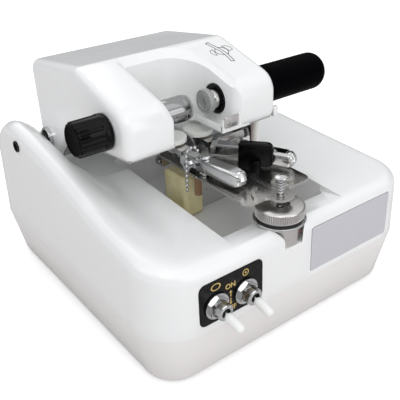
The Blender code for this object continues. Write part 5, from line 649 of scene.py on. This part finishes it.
def rim_ring(drop):
    """The outline of the cutter that rounds the scoop's rim, at a distance below the head's top."""
    depth, upper, slower = 3.5, 0.4, 1.6        # the rim's depth, and its upper part that spreads less
    share = max(-0.2, 1 - drop / depth)
    if drop < upper * depth:
        share = 1 - upper + (upper - drop / depth) / slower
    left, far_left = [wall + 0.25 - roll + math.sqrt(roll ** 2 - (roll - min(roll, max(0, drop))) ** 2)
                      for wall, roll in zip(LOBE_WALLS, LOBE_ROLLS)]
    left += 1.75
    right, back = SCOOP_RIGHT + 5 * share, SCOOP_BACK + 7.5 * share
    small, large = SMALL_CORNER, LARGE_CORNER + 5 * share
    lean = (far_left - left) / (back - small - SCOOP_NEAR)
    lobe = [(left + lean * (y - SCOOP_NEAR), y)
            for y in [SCOOP_NEAR] + [NOSE + n for n in (0, 0.4, 1.2, 2.4, 4, 6, 8, 10.6)]]
    others = arc((far_left + small, back - small), small, math.pi, QUARTER, 10)
    others += arc((right - large, back - large), large, QUARTER, 0, 28) + [(right, SCOOP_NEAR)]
    return ([at(x, y, nose_top(y) - drop) for x, y in lobe] +
            [at(x, y, head_top(y) - drop) for x, y in others])


def make_head():
    side = rounded(HEAD_CORNERS, [6.2, 0, 0, 6.2, 7.5, 14, NOSE_ROUND], 16)
    cover = side_slab("head_skin", side, HEAD_LEFT, HEAD_WIDTH)
    soften(cover, 5.8, 8, 70)
    scoop = plan_slab("scoop_tool", scoop_plan(0), 85, 90)
    rim = loft("rim_tool", [rim_ring(drop) for drop in RIM_DROPS])
    below, wall = -4, 2.5               # the hollow is open below
    inside = rounded(inset(HEAD_CORNERS, [below] * 3 + [wall] * 4), [0, 0, 0, 0, 4.5, 7.5, 6.5], 8)
    hollow = side_slab("hollow_tool", inside, HEAD_LEFT + wall, HEAD_WIDTH - 2 * wall)
    core = plan_slab("core_tool", scoop_plan(5), 85, 90)
    cut(hollow, core)
    tools = [scoop, rim, hollow]
    tools += [rod("bore_tool", radius, at(x, *CHUCK), length, "X")
              for radius, x, length in ((5.8, -85, 8), (3.3, -60, 15), (9.9, -6, 44))]
    tools += [rod("hinge_tool", 5.0, at(x, *HINGE), 8, "X") for x in (-85, 27)]
    cut(cover, *tools)
    soften(cover, 1.5, 4, 35)
    applied(cover, core, *tools)
    stand_for(cover, "head_cover", 30)


make_head()


# Knob, grip, chuck and clamp

def fluted(name, count, shares, depth, stations, start, axis="Z"):
    """A piece of (height, radius, amount of flute) stations, each flute of (place, depth) shares."""
    rings = []
    for height, radius, amount in stations:
        ring = []
        for flute in range(count):
            for share, deep in shares:
                angle = math.tau * (flute + share) / count
                reach = (radius - depth * amount * deep) * MM
                ring.append(Vector((reach * math.cos(angle), reach * math.sin(angle), height * MM)))
        rings.append(ring)
    return stand(loft(name, rings), start, axis)


def make_knob():
    shares = ((0, 0), (0.2, 0), (0.4, 0), (0.5, 0.12), (0.58, 0.6), (0.66, 0.93), (0.75, 1), (0.84, 0.93),
              (0.92, 0.6))
    stations = ((0.9, 6.2, 0), (0.55, 6.6, 0), (0.1, 8.6, 0.1), (0, 8.9, 0.2), (0.12, 9.4, 0.4),
                (0.45, 10.0, 0.8), (1.1, 10.5, 1), (15.0, 10.6, 1), (15.6, 10.62, 0.75), (16.0, 10.75, 0.2),
                (16.4, 10.88, 0), (19.6, 10.9, 0), (20.2, 10.75, 0), (20.5, 10.3, 0))
    knob = fluted("knob_skin", 12, shares, 1.0, stations, at(-101.6, *CHUCK), "X")
    stand_for(knob, "chuck_knob", 40)
    face = turned("knob_face", [(0, 0.25), (7.2, 0.2), (8.6, 0.0), (8.9, -0.12), (8.9, 0.4), (0, 0.6)],
                  at(-101.75, *CHUCK), "X")
    keep_with(face, "chuck_knob", GRIP_BLACK)


def make_grip():
    end, dome = 55.0, 9.0
    profile = [(0, end)]
    profile += [(3.6 + dome * math.cos(a), end - dome + dome * math.sin(a)) for a in
                [QUARTER * (1 - n / 20) for n in range(21)]]
    profile += [(12.6, 6), (12.5, 4.6), (12.3, 3.4), (11.8, 2.0), (11.0, 0.8), (10.4, 0.1), (4.2, 0),
                (4.2, 3)]
    stand_for(turned("grip_skin", profile, at(34.6, *CHUCK), "X", 96), "clamp_grip", 50)


make_knob()
make_grip()
for name, node, left, steps, closed, profile in (
        ("chuck_skin", "left_chuck", -49.7, 96, False,
         [(0, 23.5), (7.5, 23.5), (7.9, 23.35), (8.2, 22.9), (8.2, 20.4), (8.0, 20.2), (8.0, 19.8),
          (8.2, 19.6), (8.2, 5.2), (8.05, 4.7), (6.35, 2.9), (6.2, 2.7), (6.2, 2.2), (5.9, 2.1),
          (3.3, 2.1), (3.3, 4)]),
        ("left_pad_skin", "left_pad", -25.9, 72, False,
         [(0, 1.0), (3.0, 1.0), (3.4, 1.2), (6.6, 1.75), (7.2, 1.8), (7.55, 1.55), (7.6, 1.2), (7.6, 0.05),
          (0, 0)]),
        ("right_pad_skin", "right_pad", -11.5, 72, False,
         [(1.6, 4.45), (7.0, 4.45), (7.5, 4.3), (7.8, 3.9), (7.9, 3.4), (7.9, 1.0), (7.7, 0.35), (7.3, 0.05),
          (6.9, 0), (6.6, 0.35), (6.3, 0.45), (5.9, 0.35), (5.6, 0), (4.6, 0), (4.3, 0.3), (4.2, 0.8),
          (3.9, 1.0), (3.2, 1.0), (2.9, 0.6), (2.5, 0.5), (2.1, 0.7), (1.8, 1.9), (0, 2.0)]),
        ("clamp_shaft_skin", "clamp_shaft", -6.4, 72, False,
         [(0, 84.3), (3.1, 84.3), (3.2, 84.2), (3.2, 30), (6.2, 30), (6.2, 1.4), (5.9, 0.6), (5.4, 0.05),
          (1.5, 0), (1.5, -2.1), (0, -2.1)]),
        ("guide_skin", "clamp_guide", -3.0, 72, True,
         [(10.2, 37.3), (10.2, 34.3), (9.6, 34.3), (9.6, 0.7), (9.4, 0.2), (8.9, 0), (6.9, 0), (6.6, 0.25),
          (6.5, 0.6), (6.5, 31), (3.5, 31), (3.5, 37.3)])):
    stand_for(turned(name, profile, at(left, *CHUCK), "X", steps, closed), node)


# Depth dial, spindle and spring

def make_dial():
    low = at(*DIAL, 83.034)
    stations = ((0, 13.6, 0), (0.35, 14.3, 0), (1.0, 14.85, 0), (1.25, 15.0, 0.2), (1.45, 15.0, 1),
                (6.2, 15.0, 1), (6.4, 15.0, 0.2), (6.65, 14.9, 0), (7.2, 14.55, 0), (7.6, 13.9, 0),
                (7.8, 13.2, 0))
    dial = fluted("dial_skin", 72, ((0, 0), (0.3, 0.1), (0.5, 1), (0.7, 1), (0.9, 0.1)), 0.6, stations, low)
    hollow = turned("dial_tool", [(0, 12), (6.1, 12), (5.8, 7.7), (5.8, 5.6), (2.2, 5.6), (2.2, -1), (0, -1)],
                    low, steps=48)
    cut(dial, hollow)
    applied(dial, hollow)
    stand_for(dial, "depth_dial", 28)
    rim = turned("dial_rim", [(15.75, 0.0), (15.95, 0.25), (15.95, 0.75), (15.7, 1.0), (13.2, 1.0),
                              (13.2, 0)], at(*DIAL, 80.95), "Z", 96, True)
    keep(rim, CHROME, "housing")


def wire(name, points, radius, resolution):
    shape = bpy.data.curves.new(name, "CURVE")
    shape.dimensions, shape.bevel_depth, shape.bevel_resolution = "3D", radius * MM, resolution
    shape.use_fill_caps = True
    spline = shape.splines.new("POLY")
    spline.points.add(len(points) - 1)
    for point, place in zip(spline.points, points):
        point.co = (*place, 1)
    return from_curve(name, shape)


def make_spring():
    low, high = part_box("spindle_spring")
    turns, steps, radius, wire_radius, end_gap = 5, 28, 2.1 * MM, 0.3, 0.35 * MM
    centre, travel, points = at(*DIAL, 0), high[2] - low[2] - 2 * end_gap, []
    for n in range(turns * steps + 1):
        angle = math.tau * n / steps
        points.append((centre.x + radius * math.cos(angle), centre.y + radius * math.sin(angle),
                       low[2] + end_gap + travel * n / (turns * steps)))
    stand_for(wire("spring_skin", points, wire_radius, 3), "spindle_spring", 60)


make_dial()
make_spring()
dot_angle, dot_reach = math.radians(-58), 12.55
dot = rod("index_dot", 0.62,
          at(DIAL[0] + dot_reach * math.cos(dot_angle), DIAL[1] + dot_reach * math.sin(dot_angle), 73.5),
          0.32, Matrix.Rotation(dot_angle, 4, "Z") @ TURNS["X"], 24)
keep(dot, RED_INK, "housing")


# Bead chain and sponge

def make_beads():
    """Beads on a wire, from a half turn at the top straight down."""
    right, y, height = -25.2, 68.5, 109.5
    bend, drop, pitch, radius = 4.5, 26.0, 3.3, 1.2
    count = int((math.pi * bend + drop) / pitch)

    def place(along):
        if along <= math.pi * bend:
            angle = along / bend
            return at(right - bend + bend * math.cos(angle), y, height + bend * math.sin(angle))
        return at(right - 2 * bend, y, height - (along - math.pi * bend))

    cage = bmesh.new()
    for n in range(count):
        bmesh.ops.create_uvsphere(cage, u_segments=20, v_segments=12, radius=radius * MM,
                                  matrix=Matrix.Translation(place(pitch * n + radius)))
    beads = linked("beads", cage)
    string = wire("chain_wire", [place(radius + pitch * (count - 1) * n / 60) for n in range(61)], 0.38, 2)
    stand_for(joined("chain_skin", [beads, string]), "bead_chain", 60)


def make_sponge():
    """The sponge's box, drawn in at its edges and dented by two noises."""
    low, high = (Vector(v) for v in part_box("sponge"))
    size, middle = high - low, (low + high) / 2
    start, pinch = 0.86, 0.10           # where the faces begin to draw in, and how far the edges do
    cage = bmesh.new()
    bmesh.ops.create_cube(cage, size=1)
    bmesh.ops.subdivide_edges(cage, edges=cage.edges, cuts=22, use_grid_fill=True)
    for v in cage.verts:
        c, drawn = v.co * 2, []
        for k in range(3):
            edge = max(0.0, max(abs(c[j]) for j in range(3) if j != k) - start) / (1 - start)
            drawn.append(c[k] * (1 - pinch * edge * edge) / 2 * size[k])
        v.co = Vector(drawn) + middle
        shift = noise.noise(v.co * 240) * 0.0004 + noise.noise(v.co * 900) * 0.0003
        v.co -= (v.co - middle).normalized() * (abs(shift) + 0.0002)
    item = linked("sponge_skin", cage)
    stand_for(item, "sponge", 180)


make_beads()
make_sponge()


# Front panel lettering and plain marks

def on_panel(item, x, z, depth=-0.26):
    """Put a mark drawn around its middle onto the panel, in gold ink."""
    item.data.transform(on_front(depth) @ Matrix.Translation((x * MM, (z - BELT) * MM, 0)))
    keep(item, GOLD_INK, "housing")


def letters(name, text, x, z):
    shape = bpy.data.curves.new(name, "FONT")
    shape.body, shape.size = text, 4.6 * MM
    shape.align_x, shape.align_y = "CENTER", "CENTER"
    shape.extrude, shape.offset = 0.04 * MM, 0.12 * MM
    on_panel(from_curve(name, shape), x, z, -0.22)


def flat_ring(name, radius, inner, x, z, stretch=1.0):
    ring = turned(name, [(radius, 0.08), (radius, 0), (inner, 0), (inner, 0.08)], ORIGIN, "Z", 48, True)
    ring.data.transform(Matrix.Scale(stretch, 4, (1, 0, 0)))
    on_panel(ring, x, z)


def flat_shape(name, points, x, z):
    on_panel(slab(name, points, 0.08, Matrix.Identity(4)), x, z)


ON_X, WHEEL_X, MARKS_HEIGHT = -55.6, -44.6, 66.2
letters("mark_on", "ON", ON_X, 62.2)
letters("mark_off", "OFF", ON_X, 46.6)
flat_ring("lens_mark", 2.3, 1.7, -66.0, MARKS_HEIGHT, 1.5)
flat_ring("wheel_mark", 2.3, 1.7, WHEEL_X, MARKS_HEIGHT)
flat_ring("wheel_mark_hub", 0.7, 0.2, WHEEL_X, MARKS_HEIGHT)
arrow = [(-0.35, -2.2), (0.35, -2.2), (0.35, 0.6), (1.1, 0.6), (0, 2.3), (-1.1, 0.6), (-0.35, 0.6)]
flat_shape("arrow_up", arrow, ON_X, 57.0)
flat_shape("arrow_down", [(x, -y) for x, y in arrow][::-1], ON_X, 51.6)


# Line drawing on the right lobe: a lens seen from its edge, between two pads

def on_slope():
    """Takes points (across, up the slope) onto the head's front slope."""
    nose, crease = Vector(HEAD_CORNERS[6]), Vector(HEAD_CORNERS[5])
    up = (crease - nose).normalized()
    turn = Matrix(((1, 0, 0, 0), (0, up.x, -up.y, 0), (0, up.y, up.x, 0), (0, 0, 0, 1)))
    return Matrix.Translation(at(0, nose.x, nose.y + 0.05)) @ turn


def stroke(name, points, width, closed=False):
    """A thin raised line through points on the slope."""
    pieces = []
    for first, second in zip(points, points[1:] + points[:1] if closed else points[1:]):
        a, b = Vector(first), Vector(second)
        along = (b - a).normalized() * width / 2
        side = Vector((-along.y, along.x))
        quad = [a - along + side, a - along - side, b + along - side, b + along + side]
        pieces.append(slab("stroke", quad, 0.05, on_slope()))
    keep(joined(name, pieces), DARK_INK, "head")


spine = [Vector(p) for p in ((12.2, 49.5), (13.0, 47.0), (13.8, 44.2), (14.6, 41.6), (15.3, 38.8),
                             (15.7, 36.0), (15.8, 33.2), (15.6, 30.4), (15.3, 27.8), (14.8, 25.1))]


def beside(distance):
    """The spine's points, moved sideways."""
    moved = []
    for n, point in enumerate(spine):
        along = (spine[min(n + 1, len(spine) - 1)] - spine[max(n - 1, 0)]).normalized()
        moved.append(tuple(point + Vector((-along.y, along.x)) * distance))
    return moved


stroke("drawing_lens", beside(1.15) + beside(-1.15)[::-1], 0.5, True)
left_edge, right_edge = beside(-1.7), beside(1.7)
stroke("drawing_pad_low", [left_edge[3], (11.4, 40.0), (10.7, 37.6), (11.6, 35.2), left_edge[6]], 0.36)
stroke("drawing_cap_low", [(10.6, 41.4), (8.2, 40.6), (7.2, 38.0), (7.9, 35.4), (9.6, 34.4), (10.0, 37.2)],
       0.34, True)
stroke("drawing_pad_high", [right_edge[3], (18.6, 41.2), (20.2, 38.6), (19.6, 35.6), right_edge[6]], 0.5)
stroke("drawing_cap_high", [(19.4, 42.6), (22.4, 42.2), (24.2, 39.4), (23.6, 36.6), (20.8, 36.2)], 0.36, True)


# Small metal pieces
ring = turned("hinge_ring", [(7.4, 2.6), (7.4, 0.4), (7.0, 0), (6.2, 0), (5.9, 0.4), (5.9, 2.6)],
              at(-83.1, *HINGE), "X", 64, True)
keep(ring, CHROME, "head")
# A black matt lining in the left ear's hinge hole: painted shade for the dark inside of the hole.
sleeve = turned("ear_hole_painted_shade", [(3.78, 6.6), (3.78, 0), (3.1, 0), (3.1, 6.6)], at(-104.9, *HINGE), "X", 48,
                True)
keep(sleeve, MATT, "housing")
screw("left_hinge_screw", at(-98.4, *HINGE), "-X", 3.4, "housing", 1.2, MATT)
screw("right_hinge_screw", at(45.3, *HINGE), "X", 3.4, "housing", 1.8)


def make_toggle(side, x):
    """A thin chrome lever under a tapered white sleeve."""
    start, end = at(x, -4.3, SWITCH_HEIGHT), at(x, -21.8, 50.3)
    turn = (end - start).to_track_quat("Z", "Y").to_matrix().to_4x4()
    lever = turned(f"{side}_toggle_skin", [(0, 16.2), (1.3, 16.2), (1.25, 5.6), (1.6, 3.6), (1.55, 0.6),
                                           (1.4, 0), (0, -0.1)], start, turn, 40)
    stand_for(lever, f"{side}_switch_lever", 40)
    sleeve = turned(f"{side}_sleeve_skin", [(0, 5.3), (1.9, 5.3), (2.3, 5.6), (2.7, 7.0), (2.85, 9.0),
                                            (2.85, 13), (2.65, 16.4), (2.3, 17.4), (1.5, 17.95), (0, 18.1)],
                    start, turn, 48)
    stand_for(sleeve, f"{side}_lever_sleeve", 50)


def make_mouth_ring(number, side, x):
    """The dished chrome ring in a switch's mouth."""
    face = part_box(f"{side}_switch_body")[0][1]
    ring = turned(f"mouth_ring_{number}",
                  [(4.9, 0.5), (4.9, 0.35), (4.7, 0.15), (3.3, -0.2), (3.0, -0.2), (2.85, -0.05),
                   (2.85, 0.5)], Vector((x * MM, face - 0.4 * MM, SWITCH_HEIGHT * MM)), "Y", 48, True)
    keep(ring, CHROME, "housing")


for side, x in SWITCHES.items():
    make_toggle(side, x)
for number, (side, x) in enumerate(SWITCHES.items()):
    make_mouth_ring(number, side, x)


def make_opening_lever():
    """A thick rounded blade on a round foot."""
    first, last = Vector((-2.6, 56.2)), Vector((11.8, 40.0))
    along = (last - first).normalized()
    length, height, thickness = (last - first).length, 15.6, 5.8
    plan = rounded([(0, -4.2), (7.5, -4.2), (10.0, 0), (length, 0), (length, height), (0, height)],
                   [1.2, 1.5, 2.0, 3.4, 4.4, 1.6])
    upright = Matrix(((along.x, 0, -along.y, 0), (along.y, 0, along.x, 0), (0, 1, 0, 0), (0, 0, 0, 1)))
    across = Vector((-along.y, along.x)) * (thickness / 2)
    place = Matrix.Translation(at(first.x - across.x, first.y - across.y, 98.9)) @ upright
    blade = slab("lever_skin", plan, thickness, place)
    soften(blade, 1.4, 5, 50)
    foot = turned("lever_foot", [(0, 8), (3.2, 8), (3.6, 6), (3.7, 0), (1.8, 0), (1.8, -2.4), (0, -2.4)],
                  at(2.0, 46.0, 96.3), steps=40)
    applied(blade)
    stand_for(joined("opening_lever_skin", [blade, foot]), "opening_lever", 40)


def arm_end(side):
    """The thick chamfered front of a guide arm with its domed end."""
    half, edge, dome, middle, flatter = 4.72, 1.7, 3.9, 0.10345, 0.925
    low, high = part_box(f"{side}_arm_stud")
    pivot = Vector(((low[0] + high[0]) / 2, (low[1] + high[1]) / 2))
    front = at(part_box(f"{side}_arm")[1][0] / MM - 4.6, 33.6, 0).xy
    along = (front - pivot).normalized()
    across = Vector((along.y, -along.x))
    square = rectangle(-half, -half, 2 * half, 2 * half, edge, 4)
    steps = [(-33.0, 0.9), (-32.2, 1.0), (0.0, 1.0)]
    steps += [(dome * math.sin(QUARTER * n / 10), math.cos(QUARTER * n / 10)) for n in range(1, 10)]
    rings = []
    for reach, scale in steps:
        roundness, ring = max(0.0, reach) / dome, []
        for point in square:
            a, b = [(v + (v / math.hypot(*point) * half - v) * roundness) * scale for v in point]
            place = front + along * reach * MM + across * a * MM
            ring.append(Vector((place.x, place.y, middle + b * flatter * MM)))
        rings.append(ring)
    keep_with(loft(f"{side}_arm_front", rings), f"{side}_arm", smooth=32)


make_opening_lever()
arm_end("left")
arm_end("right")
cap = turned("spindle_cap", [(0, 2.3), (1.5, 2.25), (2.9, 1.95), (3.9, 1.4), (4.1, 1.0), (3.9, 0.6),
                             (2.4, 0.2), (0, 0.1)], at(*DIAL, 107.0), steps=56)
keep_with(cap, "depth_spindle")


def make_bracket():
    """The small bracket under the right lobe, with its clip and two screws, and the tab beside it."""
    plate = block("bracket_plate", at(-12.6, 59.4, 121.6), at(4.0, 60.8, 129.5))
    side = block("bracket_side", at(-12.6, 60.0, 121.6), at(-11.3, 88.0, 125.6))
    shelf = block("bracket_shelf", at(-12.6, 59.6, 121.4), at(9.0, 88.0, 122.4))
    keep(joined("lobe_bracket", [plate, side, shelf]), WHITE, "head")
    clip = slab("lobe_clip", rectangle(-11.6, 124.4, 11.0, 7.4, 0.9), 0.8,
                Matrix.Translation(at(0, 59.3, 0)) @ TURNS["-Y"])
    soften(clip, 0.2, 2)
    applied(clip)
    keep(clip, NICKEL, "head")
    for n, x in enumerate((-8.6, -3.6)):
        screw(f"clip_screw_{n}", at(x, 58.6, 127.0), "-Y", 0.95, "head", 0.6)
    tab = side_slab("lobe_tab", rectangle(61.0, 120.4, 3.2, 6.6, 0.8), 31, 3.8)
    soften(tab, 0.4, 2)
    applied(tab)
    keep(tab, WHITE, "head")


make_bracket()


# Studio
cage = bmesh.new()
bmesh.ops.create_grid(cage, x_segments=1, y_segments=1, size=3)
floor = linked("floor", cage)
floor_surface, tree, shader = nodes_of("floor_white")
camera_ray = add(tree, "ShaderNodeLightPath").outputs["Is Camera Ray"]
# Only the camera's rays see the floor glow, so that it lights nothing.
glow = add(tree, "ShaderNodeMath", camera_ray, 0.27, operation="MULTIPLY").outputs[0]
feed_all(tree, shader, Roughness=0.8, Emission_Color=(1, 1, 1, 1), Emission_Strength=glow,
         Base_Color=mixed(tree, camera_ray, (0.62, 0.60, 0.60, 1), (0.98, 0.98, 0.98, 1)))
floor.data.materials.append(floor_surface)
floor.location.z = -0.0002

# Glossy rays see a sky of dark and pale bands, the camera a white one and all others an even one.
world = bpy.context.scene.world or bpy.data.worlds.new("World")
bpy.context.scene.world = world
world.use_nodes = True
tree = world.node_tree
tree.nodes.clear()
direction = add(tree, "ShaderNodeTexCoord").outputs["Generated"]
height = add(tree, "ShaderNodeSeparateXYZ", direction).outputs["Z"]
bands = [(position, (tone, tone, tone)) for position, tone in ((0.66, 0.22), (0.76, 0.85), (1.0, 1.0))]
sky = ramp(tree, add(tree, "ShaderNodeMapRange", height, -1.0, 1.0).outputs[0],
           (0.46, (0.30, 0.30, 0.31)), (0.55, (0.05, 0.052, 0.055)), *bands)
soft, even, plain = [add(tree, "ShaderNodeBackground", colour, strength).outputs[0] for colour, strength in
                     ((sky, 1.0), ((0.97, 0.985, 1, 1), 0.75), ((1, 1, 1, 1), 1.0))]
path = add(tree, "ShaderNodeLightPath").outputs
lighting = add(tree, "ShaderNodeMixShader", path["Is Glossy Ray"], even, soft).outputs[0]
seen = add(tree, "ShaderNodeMixShader", path["Is Camera Ray"], lighting, plain).outputs[0]
add(tree, "ShaderNodeOutputWorld", seen)

for name, place, target, size, power in (
        ("key", (0.10, -0.50, 1.05), (0, 0, 0.08), 0.8, 0.95),
        ("fill", (-0.55, -0.75, 0.85), (0, 0, 0.08), 0.5, 1.9),
        ("rear", (0.05, 0.75, 0.95), (0, 0, 0.1), 0.8, 2.0),
        ("side", (-1.0, -0.15, 0.75), (0, 0, 0.12), 0.6, 1.15),
        ("front", (0.25, -1.1, 0.36), (0, -0.05, 0.06), 0.7, 2.6)):
    data = bpy.data.lights.new(name, "AREA")
    data.shape, data.size, data.energy = "SQUARE", size, power
    lamp = placed(name, data)
    lamp.location = place
    lamp.rotation_euler = (Vector(target) - Vector(place)).to_track_quat("-Z", "Y").to_euler()


# Camera, fitted to the photograph
FRAME_WIDTH, FOCAL_LENGTH, SENSOR = 400, 626.63, 36     # pixels, pixels and millimetres
azimuth, elevation, roll = math.radians(-36.65), math.radians(29.74), math.radians(-1.51)
back = Vector((math.sin(azimuth) * math.cos(elevation), -math.cos(azimuth) * math.cos(elevation),
               math.sin(elevation)))
right = Vector((math.cos(azimuth), math.sin(azimuth), 0))
up = back.cross(right)
right, up = right * math.cos(roll) + up * math.sin(roll), up * math.cos(roll) - right * math.sin(roll)
camera_data = bpy.data.cameras.new("camera")
camera_data.lens, camera_data.sensor_width = FOCAL_LENGTH / FRAME_WIDTH * SENSOR, SENSOR
camera_data.clip_start, camera_data.clip_end = 0.01, 20
camera = placed("camera", camera_data)
place = at(-233.65, -212.71, 275.61)
camera.matrix_world = Matrix(((right.x, up.x, back.x, place.x), (right.y, up.y, back.y, place.y),
                              (right.z, up.z, back.z, place.z), (0, 0, 0, 1)))
bpy.context.scene.camera = camera
bpy.context.scene.view_settings.view_transform = "Standard"
